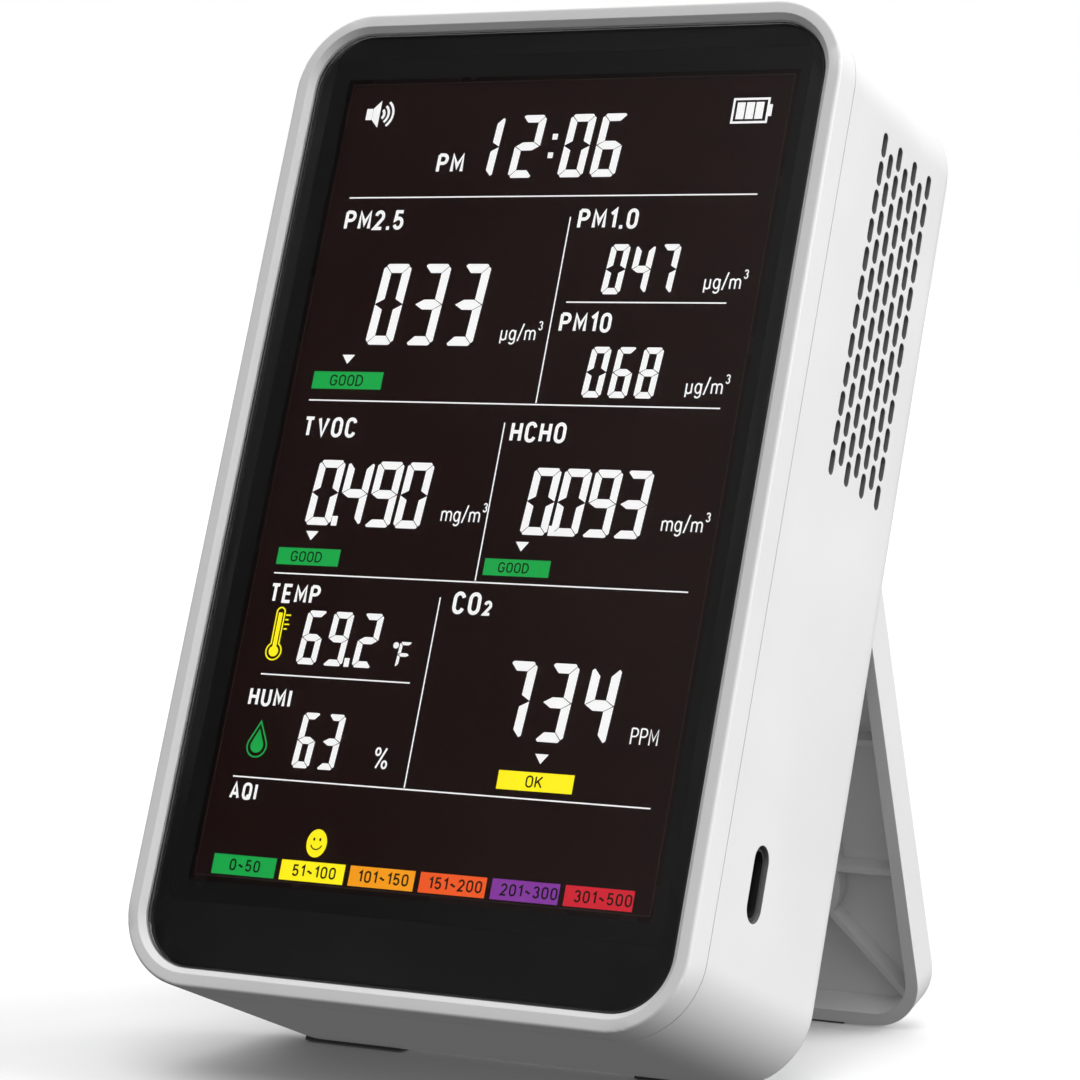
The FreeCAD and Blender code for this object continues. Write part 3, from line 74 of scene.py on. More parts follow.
# ------------------------------------------------------------------ places from the frame
MOUNTS = {mount["name"]: mount for mount in frame["record"]["mounts"]}
ACROSS = np.array([1.0, 0.0, 0.0])
BACKWARD = np.array(MOUNTS["back_panel"]["axis"])
UPWARD = -np.array(MOUNTS["underside"]["axis"])
BACK_MOUNT_DEPTH = 39.0         # the back panel's mount lies this far behind the glass face
BACK_MOUNT_UP = 26.0            # and this far above its middle
BACK_MOUNT = np.array(MOUNTS["back_panel"]["pos_m"])
GLASS_CENTRE = BACK_MOUNT - MM * (BACK_MOUNT_DEPTH * BACKWARD + BACK_MOUNT_UP * UPWARD)
GLASS_WIDTH = 75.8
GLASS_HEIGHT = 128.0
GLASS_RADIUS = 7.6
GLASS_THICK = 1.1
LCD_FRONT = 1.9                 # LCD face behind the glass face
PICTURE_SPAN = (-32.8, 33.1)    # lit area of the LCD, left and right
PICTURE_RISE = (-51.7, 57.3)    # lit area of the LCD, foot and top
BORDER_SPAN = (-33.1, 34.2)     # opening in the printed border; it reaches further past the picture on the right and at the foot, so the dark LCD glass showing there is painted shadow
BORDER_RISE = (-52.6, 57.7)
CASING_HALF_WIDTH = 40.5        # middle of the display to each side face
VENT_AREA = ((14.0, 30.6), (7.0, 55.2))         # side vents, whose walls get painted shade: depth behind the glass face, and rise
SOCKET_AREA = ((11.5, 16.2), (-49.7, -39.1))    # socket opening in the same terms, whose walls also get painted shade
SLOT_EDGE = 0.04                # painted shade on the slot walls starts this far inside the side face
SLOT_SHADE = 0.24               # painted shade: the slot walls' base colour as a share of the rest of the casing
PRINT_THICK = 0.02              # ink and segment thickness
SHEET_STEP = 0.03               # from one printed layer to the next

# ------------------------------------------------------------------ view
CAMERA_AZIMUTH = 29.56
CAMERA_ELEVATION = 4.573
CAMERA_ROLL = -0.26
CAMERA_DISTANCE = 0.52
CAMERA_TARGET = (-0.0081, 0.0118, 0.0668)
CAMERA_LENS = 128.93
SENSOR_WIDTH = 36.0


def place(across, back, up):
    """Row-frame points in metres from display millimetres (arrays or numbers)."""
    across, back, up = np.broadcast_arrays(across, back, up)
    offset = across[..., None] * ACROSS + back[..., None] * BACKWARD + up[..., None] * UPWARD
    return GLASS_CENTRE + MM * offset


# ================================================================== mesh helpers
def make_object(name, vertices, faces):
    """Mesh object at the origin from vertex rows and face index lists."""
    mesh = bpy.data.meshes.new(name)
    mesh.from_pydata([tuple(v) for v in vertices], [], [tuple(f) for f in faces])
    mesh.update()
    obj = bpy.data.objects.new(name, mesh)
    bpy.context.scene.collection.objects.link(obj)
    return obj


def add_piece(name, vertices, faces, material, body="monitor"):
    """A finished piece that rides on a body and has the given material."""
    obj = make_object(name, vertices, faces)
    obj.data.materials.append(material)
    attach(obj, body)


def rounded_loop(width, height, radius, steps=16):
    """Points round a rounded rectangle: each corner is a quarter circle of the radius, counter-clockwise."""
    turn = np.linspace(0, math.pi / 2, steps)
    quarters = np.concatenate([turn + start * math.pi / 2 for start in range(4)])
    side_x = np.repeat([1, -1, -1, 1], steps) * (width / 2 - radius)
    side_z = np.repeat([1, 1, -1, -1], steps) * (height / 2 - radius)
    return side_x + radius * np.cos(quarters), side_z + radius * np.sin(quarters)


def ring_sheet(outer, inner, back_span):
    """Closed thin frame between two loops of equal length: four loops joined front, inside, back, outside."""
    count = len(outer[0])
    front, back = back_span
    loops = [(outer, front), (inner, front), (inner, back), (outer, back)]
    points = np.concatenate([place(loop[0], np.full(count, depth), loop[1]) for loop, depth in loops])
    index = np.arange(count)
    after = (index + 1) % count
    faces = []
    for loop in range(4):
        near = loop * count
        far = ((loop + 1) % 4) * count
        faces.append(np.stack([near + after, far + after, far + index, near + index], axis=1))
    return points, np.concatenate(faces).tolist()


def facing_prism(front, back, count):
    """Faces of a prism between two outlines of equal length, numbered from front and back."""
    index = np.arange(count)
    after = (index + 1) % count
    sides = np.stack([front + after, front + index, back + index, back + after], axis=1).tolist()
    return [(front + index).tolist(), (back + index[::-1]).tolist()] + sides


def mitred_edges(path, thick, closed):
    """Left and right edges of a bar carried along a path.

    Each point moves out along the sum of its two runs' normals, divided by one
    plus their dot product, times half the thickness, so both runs keep their width.
    """
    runs = np.diff(np.vstack([path, path[:1]]) if closed else path, axis=0)
    runs /= np.linalg.norm(runs, axis=1)[:, None]
    normals = np.stack([-runs[:, 1], runs[:, 0]], axis=1)
    before = np.roll(normals, 1, axis=0) if closed else np.vstack([normals[:1], normals])
    after = normals if closed else np.vstack([normals, normals[-1:]])
    spread = np.maximum(1.0 + np.sum(before * after, axis=1), 0.35)
    reach = (before + after) / spread[:, None] * thick / 2
    return path + reach, path - reach


class InkSheet:
    """Collects thin closed shapes that share one face level on the display."""

    def __init__(self, back_face):
        self.front = back_face - PRINT_THICK
        self.back = back_face
        self.points = []
        self.faces = []
        self.count = 0

    def stack(self, loops):
        """Store loops of (across, up) points, each with its depth; returns the first index of each."""
        starts = []
        for outline, depth in loops:
            starts.append(self.count)
            self.points.append(place(outline[:, 0], np.full(len(outline), depth), outline[:, 1]))
            self.count += len(outline)
        return starts

    def add(self, outline):
        """Prism of one outline of (across, up) corners, counter-clockwise as the viewer sees it."""
        outline = np.asarray(outline, dtype=float)
        front, back = self.stack([(outline, self.front), (outline, self.back)])
        self.faces += facing_prism(front, back, len(outline))

    def stroke(self, path, thick, closed=False):
        """Bar of square section carried along a path."""
        path = np.asarray(path, dtype=float)
        left, right = mitred_edges(path, thick, closed)
        rows = [(left, self.front), (right, self.front), (right, self.back), (left, self.back)]
        starts = self.stack(rows)
        count = len(path)
        index = np.arange(count if closed else count - 1)
        after = (index + 1) % count
        for near, far in zip(starts, starts[1:] + starts[:1]):
            self.faces += np.stack([near + index, far + index, far + after, near + after], axis=1).tolist()
        if not closed:
            self.faces.append(starts[::-1])
            self.faces.append([start + count - 1 for start in starts])

    def box(self, left, foot, right, top):
        """Upright rectangle."""
        self.add([(left, foot), (right, foot), (right, top), (left, top)])

    def disc(self, mid, radius, steps=28, tall=1.0):
        """Round or oval dot."""
        turn = np.arange(steps) * 2 * math.pi / steps
        self.add(np.stack([mid[0] + radius * np.cos(turn), mid[1] + radius * tall * np.sin(turn)], axis=1))

    def finish(self, name, material, slot="lcd_black", body="monitor"):
        """Join everything collected into one piece."""
        add_piece(name, np.concatenate(self.points), self.faces, material, body)


def bend(mid, radius, start, end, steps=8, tall=1.0):
    """Points on an arc: mid plus radius times cosine and sine of angles from start to end, in degrees."""
    turn = np.radians(np.linspace(start, end, steps + 1))
    return np.stack([mid[0] + radius * np.cos(turn), mid[1] + radius * tall * np.sin(turn)], axis=1)


# ================================================================== segment digits
SEGMENTS_OF = {
    "0": "abcdef", "1": "bc", "2": "abged", "3": "abgcd", "4": "fgbc",
    "5": "afgcd", "6": "afgedc", "7": "abc", "8": "abcdefg", "9": "abcdfg", "F": "afeg",
}
DIGIT_SLANT = 0.07
SEGMENT_GAP = 0.055             # half the gap between two segments


def segment_outlines(width, height, bar):
    """Outlines of a digit's seven mitred segments, foot-left corner at (0, 0).

    The digit's corners are cut across.  Each upright tapers to its outer edge at
    half height, and the middle bar is pointed at both ends to fit between them.
    """
    gap = SEGMENT_GAP
    half = height / 2
    cut = bar * 0.5
    mid = cut / 2
    taper = bar * 0.55
    inset = bar + gap * 1.2
    level = height - mid + gap * 0.4
    shapes = {
        "a": [(bar + gap, height - bar), (width - bar - gap, height - bar), (width - mid - gap, level),
              (width - cut, height), (cut, height), (mid + gap, level)],
        "f": [(0, half + gap), (bar, half + taper + gap), (bar, height - bar - gap * 1.4),
              (mid, height - mid - gap * 1.4), (0, height - cut)],
        "g": [(gap * 2.5, half), (inset, half - taper), (width - inset, half - taper),
              (width - gap * 2.5, half), (width - inset, half + taper), (inset, half + taper)],
    }
    shapes["d"] = [(x, height - z) for x, z in reversed(shapes["a"])]
    shapes["e"] = [(x, height - z) for x, z in reversed(shapes["f"])]
    shapes["b"] = [(width - x, z) for x, z in reversed(shapes["f"])]
    shapes["c"] = [(width - x, z) for x, z in reversed(shapes["e"])]
    return shapes


def write_digits(sheet, text, left, foot, height, width, pitch, bar):
    """Slanted seven-segment figures at an even pitch."""
    shapes = segment_outlines(width, height, bar)
    for index, figure in enumerate(text):
        start = left + index * pitch
        for key in SEGMENTS_OF[figure]:
            sheet.add([(start + x + DIGIT_SLANT * z, foot + z) for x, z in shapes[key]])


# ================================================================== plain lettering
def glyph_paths():
    """Pen paths of each letter in a unit square, with its width as a share of its height.

    A path that ends where it starts is closed.  Round parts are arcs of an
    ellipse above and below upright sides.
    """
    top = bend((0.5, 0.72), 0.5, 0, 180, 10, 0.56)
    foot = bend((0.5, 0.28), 0.5, 180, 360, 10, 0.56)
    ring = np.vstack([top, foot, top[:1]])
    mouth = np.vstack([bend((0.5, 0.72), 0.5, 12, 180, 10, 0.56), bend((0.5, 0.28), 0.5, 180, 348, 10, 0.56)])
    bowl = np.vstack([[(0, 1)], bend((0.55, 0.745), 0.45, 90, -90, 8, 0.56), [(0, 0.49)]])
    two = np.vstack([bend((0.5, 0.72), 0.5, 170, -25, 10, 0.56), [(0.0, 0.0), (1.0, 0.0)]])
    three = np.vstack([bend((0.5, 0.76), 0.48, 165, -80, 9, 0.5), bend((0.5, 0.27), 0.5, 78, -165, 9, 0.54)])
    five = np.vstack([[(0.95, 1), (0.12, 1), (0.05, 0.52)], bend((0.48, 0.31), 0.52, 125, -160, 10, 0.58)])
    small_bead = bend((0.5, 0.5), 0.5, 0, 360, 22) * (0.36, 0.34)
    arches = [[(0, 0), (0, 0.62)], np.vstack([bend((0.25, 0.42), 0.25, 150, 0, 6, 0.8), [(0.5, 0)]]),
              np.vstack([bend((0.75, 0.42), 0.25, 150, 0, 6, 0.8), [(1, 0)]])]
    hook = [bend((0.48, 0.32), 0.48, 0, 360, 20, 0.62),
            np.vstack([[(0.98, 0.62), (0.98, 0.0)], bend((0.5, -0.06), 0.48, 0, -150, 8, 0.42)])]
    cup = [np.vstack([[(0, -0.24), (0, 0.1)], [(0, 0.62)]]),
           np.vstack([bend((0.45, 0.22), 0.45, 190, 350, 8, 0.5), [(0.9, 0.62)]]), [(0.9, 0.3), (0.9, 0)]]
    across = np.linspace(0, 1, 13)
    wave = np.stack([across, 0.42 + 0.09 * np.sin(across * 2 * math.pi)], axis=1)
    half_round = bend((0.4, 0.5), 0.6, 80, -80, 10, 0.84)
    return {
        "P": (0.50, [[(0, 0), (0, 1)], bowl]),
        "M": (0.62, [[(0, 0), (0, 1), (0.5, 0.3), (1, 1), (1, 0)]]),
        "V": (0.54, [[(0, 1), (0.5, 0), (1, 1)]]),
        "T": (0.50, [[(0, 1), (1, 1)], [(0.5, 1), (0.5, 0)]]),
        "O": (0.50, [ring]), "0": (0.48, [ring]), "C": (0.49, [mouth]),
        "G": (0.54, [np.vstack([mouth, [(1, 0.45), (0.6, 0.45)]])]),
        "D": (0.54, [np.vstack([[(0, 0), (0, 1), (0.4, 1)], half_round, [(0.4, 0), (0, 0)]])]),
        "H": (0.50, [[(0, 0), (0, 1)], [(1, 0), (1, 1)], [(0, 0.5), (1, 0.5)]]),
        "E": (0.46, [[(1, 1), (0, 1), (0, 0), (1, 0)], [(0, 0.5), (0.88, 0.5)]]),
        "U": (0.50, [np.vstack([[(0, 1)], foot, [(1, 1)]])]),
        "I": (0.02, [[(0.5, 0), (0.5, 1)]]),
        "A": (0.56, [[(0, 0), (0.5, 1), (1, 0)], [(0.2, 0.3), (0.8, 0.3)]]),
        "Q": (0.52, [ring, [(0.6, 0.26), (1.0, -0.04)]]),
        "K": (0.52, [[(0, 0), (0, 1)], [(1, 1), (0.02, 0.38)], [(0.34, 0.6), (1, 0)]]),
        "1": (0.26, [[(0, 0.78), (0.9, 1), (0.9, 0)]]),
        "2": (0.46, [two]), "3": (0.46, [three]), "5": (0.46, [five]),
        ".": (0.02, [[(0.5, -0.09), (0.5, 0.12)]]),
        "~": (0.42, [wave]),
        "/": (0.34, [[(0, -0.08), (1, 1.05)]]),
        "u": (0.46, cup), "g": (0.46, hook), "m": (0.78, arches),
        "%": (0.80, [small_bead + (0, 0.64), small_bead + (0.64, 0.02), [(0.16, 0), (0.84, 1)]]),
    }


GLYPHS = glyph_paths()
RAISED = (0.55, 0.62)           # size and rise of raised letters, as shares of the height
LOWERED = (0.66, 0.0)
SMALL_PEN = 0.8                 # how much thinner the pen is for either
QUANTITY_HAND = (0.165, 0.17, 0.86)     # pen, space between letters and stretch of their widths
UNIT_HAND = (0.09, 0.1, 0.78)
WORD_HAND = (0.135, 0.17, 1.06)
SCALE_HAND = (0.15, 0.19, 0.97)


def write(sheet, text, left, foot, height, hand):
    """Letters drawn with an even pen; ^ raises and shrinks what follows it, and _ only shrinks it.

    The hand gives the pen and the space between letters as shares of the height,
    and a stretch of the letters' widths.
    """
    weight, spacing, stretch = hand
    pen = height * weight
    cursor = left
    size = height
    base = foot
    for letter in text:
        if letter in "^_":
            share_of_height, rise = RAISED if letter == "^" else LOWERED
            size = height * share_of_height
            base = foot + height * rise
            pen = pen * SMALL_PEN
            continue
        share, paths = GLYPHS[letter]
        wide = share * size * stretch
        for path in paths:
            path = np.asarray(path, dtype=float)
            closed = np.linalg.norm(path[0] - path[-1]) < 1e-6
            path = path[:-1] if closed else path
            across = cursor + pen / 2 + path[:, 0] * wide
            up = base + pen / 2 + path[:, 1] * (size - pen)
            sheet.stroke(np.stack([across, up], axis=1), pen, closed)
        cursor += wide + pen + size * spacing


# ================================================================== display
COLOURS = {
    "white": (0.93, 0.93, 0.93),
    "green": (0.0, 0.36, 0.055),
    "yellow": (1.0, 0.87, 0.0),
    "orange": (0.90, 0.32, 0.0),
    "vermilion": (0.83, 0.09, 0.008),
    "purple": (0.21, 0.03, 0.31),
    "red": (0.58, 0.007, 0.022),
}
BAR_INK = (0.010, 0.016, 0.004)
PICTURE_BLACK = (0.0165, 0.0026, 0.0014)
EDGE_LINE_BROWN = (0.048, 0.026, 0.024)
EDGE_LINE_THICK = 0.14
BORDER_BLACK = (0.0068, 0.0068, 0.0068)
BORDER_INSET = 0.05             # border print inside the edge of the glass
BORDER_CORNER = 0.12            # corner radius of its opening
SCALE_BLOCKS = ("green", "yellow", "orange", "vermilion", "purple", "red")
SCALE_NUMBERS = ("0~50", "51~100", "101~150", "151~200", "201~300", "301~500")
SCALE_LEFT = -30.3
SCALE_PITCH = 10.28
SCALE_BLOCK = 9.5
SCALE_FOOT = -51.4
SCALE_TOP = -48.8
PICTURE_FACE = LCD_FRONT - SHEET_STEP
SEGMENT_FACE = PICTURE_FACE - SHEET_STEP
BAR_INK_FACE = SEGMENT_FACE - SHEET_STEP
READINGS = (                    # figures, left, foot, height, width, pitch, bar
    ("1", -12.3, 43.6, 8.8, 3.65, 4.7, 1.05),
    ("2", -6.2, 43.6, 8.8, 3.75, 4.7, 1.05),
    ("06", 1.2, 43.6, 8.8, 3.75, 4.75, 1.05),
    ("033", -23.0, 20.3, 11.3, 4.2, 6.05, 1.25),
    ("047", 10.8, 27.5, 6.8, 2.75, 3.65, 0.85),
    ("068", 10.7, 13.6, 6.8, 2.8, 3.75, 0.85),
    ("0490", -26.8, -4.6, 8.9, 3.95, 4.5, 1.05),
    ("0093", 5.5, -4.8, 8.9, 3.9, 4.4, 1.05),
    ("69", -23.9, -23.3, 7.2, 3.0, 4.0, 0.85),
    ("2", -15.4, -23.3, 7.2, 3.0, 4.0, 0.85),
    ("63", -21.5, -36.9, 7.3, 2.65, 3.7, 0.85),
    ("734", 6.9, -31.3, 10.1, 4.1, 5.95, 1.25),
    ("F", -9.0, -23.0, 3.4, 1.8, 3.0, 0.42),
)
RULES = (                       # left, right, height of the level rules
    (-29.9, 30.7, 41.0), (-29.9, 30.7, 12.5), (-29.9, 30.7, -11.3), (-29.9, 30.7, -38.6),
    (6.1, 29.0, 26.4), (-28.8, -6.3, -24.9),
)
UPRIGHT_RULES = ((4.4, 12.7, 38.1), (0.4, -11.1, 10.0), (-4.2, -38.4, -13.5))
LEVEL_BARS = (                  # colour, left, foot, right, top, word, pointer place
    ("green", -29.9, 14.1, -19.2, 16.5, "GOOD", -25.1),
    ("green", -29.9, -10.1, -20.4, -7.8, "GOOD", -25.3),
    ("green", 1.3, -10.3, 10.8, -8.1, "GOOD", 6.2),
    ("yellow", 8.9, -37.6, 19.6, -35.2, "OK", 14.5),
)
QUANTITY_LABELS = (             # text, left, foot, height
    ("PM", -17.3, 44.4, 2.8), ("PM2.5", -29.9, 36.4, 2.8), ("PM1.0", 5.6, 36.4, 2.8),
    ("PM10", 5.7, 22.3, 2.7), ("TVOC", -29.9, 7.4, 2.8), ("HCHO", 1.5, 7.4, 2.8),
    ("TEMP", -29.9, -15.3, 2.6), ("HUMI", -29.9, -29.2, 2.5), ("CO_2", -2.2, -15.6, 3.0),
    ("AQI", -29.9, -41.6, 2.3),
)
UNIT_LABELS = (
    ("ug/m^3", -2.7, 21.1, 2.3), ("ug/m^3", 25.4, 28.2, 2.3), ("ug/m^3", 25.4, 14.3, 2.3),
    ("mg/m^3", -6.4, -3.5, 2.3), ("mg/m^3", 25.4, -3.7, 2.3), ("%", -9.4, -36.3, 2.9),
    ("PPM", 26.3, -30.9, 2.2),
)
DOTS = (                        # clock colon and decimal points: left, foot, width, height
    (-0.7, 46.3, 0.75, 0.8), (-0.5, 48.9, 0.75, 0.8), (-22.7, -4.6, 0.85, 1.3),
    (9.6, -4.8, 0.85, 1.3), (-16.6, -23.3, 0.75, 1.15),
)
RULE_HALF = 0.09                # half the thickness of a rule
DEGREE_DOT = ((-9.35, -20.1), 0.42)     # middle and radius
POINTER_HALF = 0.95             # the pointer over a level bar: half width, and rise of its tip and top
POINTER_TIP = 1.1
POINTER_TOP = 2.35
WORD_MARGIN = 0.42              # bar above and below its word
HALF_LETTER = 0.66              # half the space that a letter of the word takes
SCALE_TEXT_RISE = 0.55
SCALE_TEXT_HEIGHT = 1.55
SCALE_TEXT_HALF = {4: 2.15, 6: 2.9, 7: 3.4}     # half length of a range by its number of figures


def display_readings(white):
    """Rules between the readings, and the figures of the clock and of each quantity."""
    for left, right, up in RULES:
        white.box(left, up - RULE_HALF, right, up + RULE_HALF)
    for across, foot, top in UPRIGHT_RULES:
        white.box(across - RULE_HALF, foot, across + RULE_HALF, top)
    for row in READINGS:
        write_digits(white, *row)
    for across, foot, wide, tall in DOTS:
        white.box(across, foot, across + wide, foot + tall)
    white.disc(*DEGREE_DOT, 18)


def speaker_icon(white):
    """Loudspeaker with three sound waves."""
    left, mid = -29.9, 53.0
    white.box(left, mid - 0.8, left + 0.95, mid + 0.8)
    throat, mouth = left + 1.0, left + 2.1
    white.add([(throat, mid - 0.8), (mouth, mid - 1.95), (mouth, mid + 1.95), (throat, mid + 0.8)])
    for radius, thick in ((0.75, 0.4), (1.45, 0.36), (2.15, 0.34)):
        white.stroke(bend((left + 2.05, mid), radius, -52, 52), thick)


def battery_icon(white):
    """Battery outline with three charge bars and an end cap."""
    left, foot, right, top = 25.2, 50.8, 30.1, 54.0
    white.stroke([(left, foot), (right, foot), (right, top), (left, top)], 0.3, closed=True)
    white.box(right + 0.16, foot + 0.8, right + 0.6, top - 0.8)
    for index in range(3):
        start = left + 0.5 + index * 1.33
        white.box(start, foot + 0.45, start + 1.12, top - 0.45)


def thermometer_icon(yellow):
    """Thermometer: an outline that swells into a bulb, a filled column and side graduations."""
    mid, foot, top = -27.6, -23.0, -15.9
    bulb = bend((mid, foot + 1.2), 1.15, 120, 420, 20)
    cap = bend((mid, top - 0.62), 0.6, 0, 180, 10)
    yellow.stroke(np.vstack([bulb, cap]), 0.2, closed=True)
    yellow.disc((mid, foot + 1.2), 0.72, 22)
    yellow.box(mid - 0.3, foot + 1.8, mid + 0.3, top - 0.7)
    for index in range(4):
        level = top - 1.1 - index * 0.62
        yellow.box(mid + 0.85, level, mid + (1.6 if index % 2 == 0 else 1.35), level + 0.2)


def drop_outline(mid, foot, radius, tall):
    """Water drop: three quarters of a circle that closes in a point above."""
    return np.vstack([bend((mid, foot + radius), radius, 155, 385, 22), [(mid, foot + tall)]])


def drop_icon(green):
    """Outline of a water drop with a smaller filled drop inside."""
    mid = -27.25
    green.stroke(drop_outline(mid, -35.9, 1.45, 4.7), 0.2, closed=True)
    green.add(drop_outline(mid, -35.35, 0.95, 3.2))


def face_icon(yellow, ink):
    """Plain round face with two dot eyes and a smile."""
    mid = (-15.4, -46.4)
    yellow.disc(mid, 1.5, 40, 1.22)
    for side in (-0.45, 0.45):
        ink.disc((mid[0] + side, mid[1] + 0.5), 0.15, 14, 1.4)
    ink.stroke(bend((mid[0], mid[1] + 0.05), 0.85, 200, 340, 12), 0.16)


def build_display():
    """Everything that the LCD lights up."""
    sheets = {name: InkSheet(SEGMENT_FACE) for name in COLOURS}
    white = sheets["white"]
    ink = InkSheet(BAR_INK_FACE)
    display_readings(white)
    speaker_icon(white)
    battery_icon(white)
    thermometer_icon(sheets["yellow"])
    drop_icon(sheets["green"])
    face_icon(sheets["yellow"], ink)
    for colour, left, foot, right, top, word, pointer in LEVEL_BARS:
        sheets[colour].box(left, foot, right, top)
        white.add([(pointer - POINTER_HALF, top + POINTER_TOP), (pointer, top + POINTER_TIP),
                   (pointer + POINTER_HALF, top + POINTER_TOP)])
        start = (left + right) / 2 - HALF_LETTER * len(word)
        write(ink, word, start, foot + WORD_MARGIN, top - foot - 2 * WORD_MARGIN, WORD_HAND)
    for index, (colour, text) in enumerate(zip(SCALE_BLOCKS, SCALE_NUMBERS)):
        left = SCALE_LEFT + index * SCALE_PITCH
        sheets[colour].box(left, SCALE_FOOT, left + SCALE_BLOCK, SCALE_TOP)
        start = left + SCALE_BLOCK / 2 - SCALE_TEXT_HALF[len(text)]
        write(ink, text, start, SCALE_FOOT + SCALE_TEXT_RISE, SCALE_TEXT_HEIGHT, SCALE_HAND)
    for labels, hand in ((QUANTITY_LABELS, QUANTITY_HAND), (UNIT_LABELS, UNIT_HAND)):
        for text, left, foot, height in labels:
            write(white, text, left, foot, height, hand)
    for name, sheet in sheets.items():
        sheet.finish("display_" + name + "_segments", lit_ink(name, COLOURS[name]))
    ink.finish("display_bar_ink", printed_black("bar_ink", BAR_INK))

    left, right = PICTURE_SPAN
    foot, top = PICTURE_RISE
    picture = InkSheet(PICTURE_FACE)
    picture.box(left, foot, right, top)
    picture.finish("lcd_picture_area", printed_black("lcd_picture", PICTURE_BLACK))
    edge = InkSheet(SEGMENT_FACE)
    edge.stroke([(left, foot), (right, foot), (right, top), (left, top)], EDGE_LINE_THICK, closed=True)
    edge.finish("lcd_edge_line", printed_black("edge_line", EDGE_LINE_BROWN))


def build_border_print():
    """Black ink on the back of the cover glass, open over the picture."""
    outer = rounded_loop(GLASS_WIDTH - 2 * BORDER_INSET, GLASS_HEIGHT - 2 * BORDER_INSET,
                         GLASS_RADIUS - BORDER_INSET)
    wide = BORDER_SPAN[1] - BORDER_SPAN[0]
    tall = BORDER_RISE[1] - BORDER_RISE[0]
    inner = rounded_loop(wide, tall, BORDER_CORNER)
    # The opening is shifted right and down from the picture: the strip of dark LCD glass left showing on
    # those sides is painted shadow.
    inner = (inner[0] + sum(BORDER_SPAN) / 2, inner[1] + sum(BORDER_RISE) / 2)
    back = GLASS_THICK + SHEET_STEP
    points, faces = ring_sheet(outer, inner, (back - PRINT_THICK, back))
    add_piece("window_border_print", points, faces, printed_black("border_ink", BORDER_BLACK))


# ================================================================== shader groups
def group(name, inputs, outputs):
    """New shader group with named sockets; returns it with its input and output nodes."""
    tree = bpy.data.node_groups.new(name, "ShaderNodeTree")
    for label_text, kind, value in inputs:
        socket = tree.interface.new_socket(name=label_text, in_out="INPUT", socket_type=kind)
        socket.default_value = value
    for label_text, kind in outputs:
        tree.interface.new_socket(name=label_text, in_out="OUTPUT", socket_type=kind)
    return tree, tree.nodes.new("NodeGroupInput"), tree.nodes.new("NodeGroupOutput")


def moulded_skin_group():
    """Fine spark-eroded skin of a moulding: two sizes of noise, one for height and one for gloss."""
    tree, given, result = group(
        "moulded_skin",
        [("Vector", "NodeSocketVector", (0, 0, 0)), ("Grain", "NodeSocketFloat", 2600.0),
         ("Rough Low", "NodeSocketFloat", 0.4), ("Rough High", "NodeSocketFloat", 0.55)],
        [("Height", "NodeSocketFloat"), ("Roughness", "NodeSocketFloat"), ("Tint", "NodeSocketFloat")])
    fine = tree.nodes.new("ShaderNodeTexNoise")
    fine.inputs["Detail"].default_value = 2.0
    broad = tree.nodes.new("ShaderNodeTexNoise")
    broad.inputs["Scale"].default_value = 38.0
    broad.inputs["Detail"].default_value = 3.0
    spread = tree.nodes.new("ShaderNodeMapRange")
    tint = tree.nodes.new("ShaderNodeMapRange")
    tint.inputs["To Min"].default_value = 0.985
    tint.inputs["To Max"].default_value = 1.01
    for node in (spread, tint):
        node.inputs["From Min"].default_value = 0.35
        node.inputs["From Max"].default_value = 0.65
    link = tree.links.new
    link(given.outputs["Vector"], fine.inputs["Vector"])
    link(given.outputs["Grain"], fine.inputs["Scale"])
    link(given.outputs["Vector"], broad.inputs["Vector"])
    link(broad.outputs["Fac"], spread.inputs["Value"])
    link(given.outputs["Rough Low"], spread.inputs["To Min"])
    link(given.outputs["Rough High"], spread.inputs["To Max"])
    link(broad.outputs["Fac"], tint.inputs["Value"])
    link(fine.outputs["Fac"], result.inputs["Height"])
    link(spread.outputs["Result"], result.inputs["Roughness"])
    link(tint.outputs["Result"], result.inputs["Tint"])
    return tree


SKIN = moulded_skin_group()


def new_material(name, colour, roughness=0.5, metallic=0.0):
    """Material with a Principled shader; returns it with the shader and its node tree."""
    material = bpy.data.materials.new(name)
    material.use_nodes = True
    tree = material.node_tree
    shader = tree.nodes["Principled BSDF"]
    shader.inputs["Base Color"].default_value = (*colour, 1.0)
    shader.inputs["Roughness"].default_value = roughness
    shader.inputs["Metallic"].default_value = metallic
    return material, shader, tree


def object_vector(tree):
    """Object coordinates."""
    return tree.nodes.new("ShaderNodeTexCoord").outputs["Object"]


def moulded(name, colour, grain=2600.0, rough=(0.42, 0.56), depth=0.02, edge=0.00018, gloss=0.5):
    """Moulded plastic or rubber: fine skin in the bump, soft edges, slow changes of gloss and tone."""
    material, shader, tree = new_material(name, colour)
    shader.inputs["Specular IOR Level"].default_value = gloss
    link = tree.links.new
    skin = tree.nodes.new("ShaderNodeGroup")
    skin.node_tree = SKIN
    link(object_vector(tree), skin.inputs["Vector"])
    skin.inputs["Grain"].default_value = grain
    skin.inputs["Rough Low"].default_value = rough[0]
    skin.inputs["Rough High"].default_value = rough[1]
    link(skin.outputs["Roughness"], shader.inputs["Roughness"])
    tone = tree.nodes.new("ShaderNodeVectorMath")
    tone.operation = "SCALE"
    tone.inputs[0].default_value = colour
    link(skin.outputs["Tint"], tone.inputs["Scale"])
    link(tone.outputs["Vector"], shader.inputs["Base Color"])
    bump = tree.nodes.new("ShaderNodeBump")
    bump.inputs["Strength"].default_value = 0.35
    bump.inputs["Distance"].default_value = depth * MM
    link(skin.outputs["Height"], bump.inputs["Height"])
    if edge:
        bevel = tree.nodes.new("ShaderNodeBevel")
        bevel.samples = 6
        bevel.inputs["Radius"].default_value = edge
        link(bevel.outputs["Normal"], bump.inputs["Normal"])
    link(bump.outputs["Normal"], shader.inputs["Normal"])
    return material


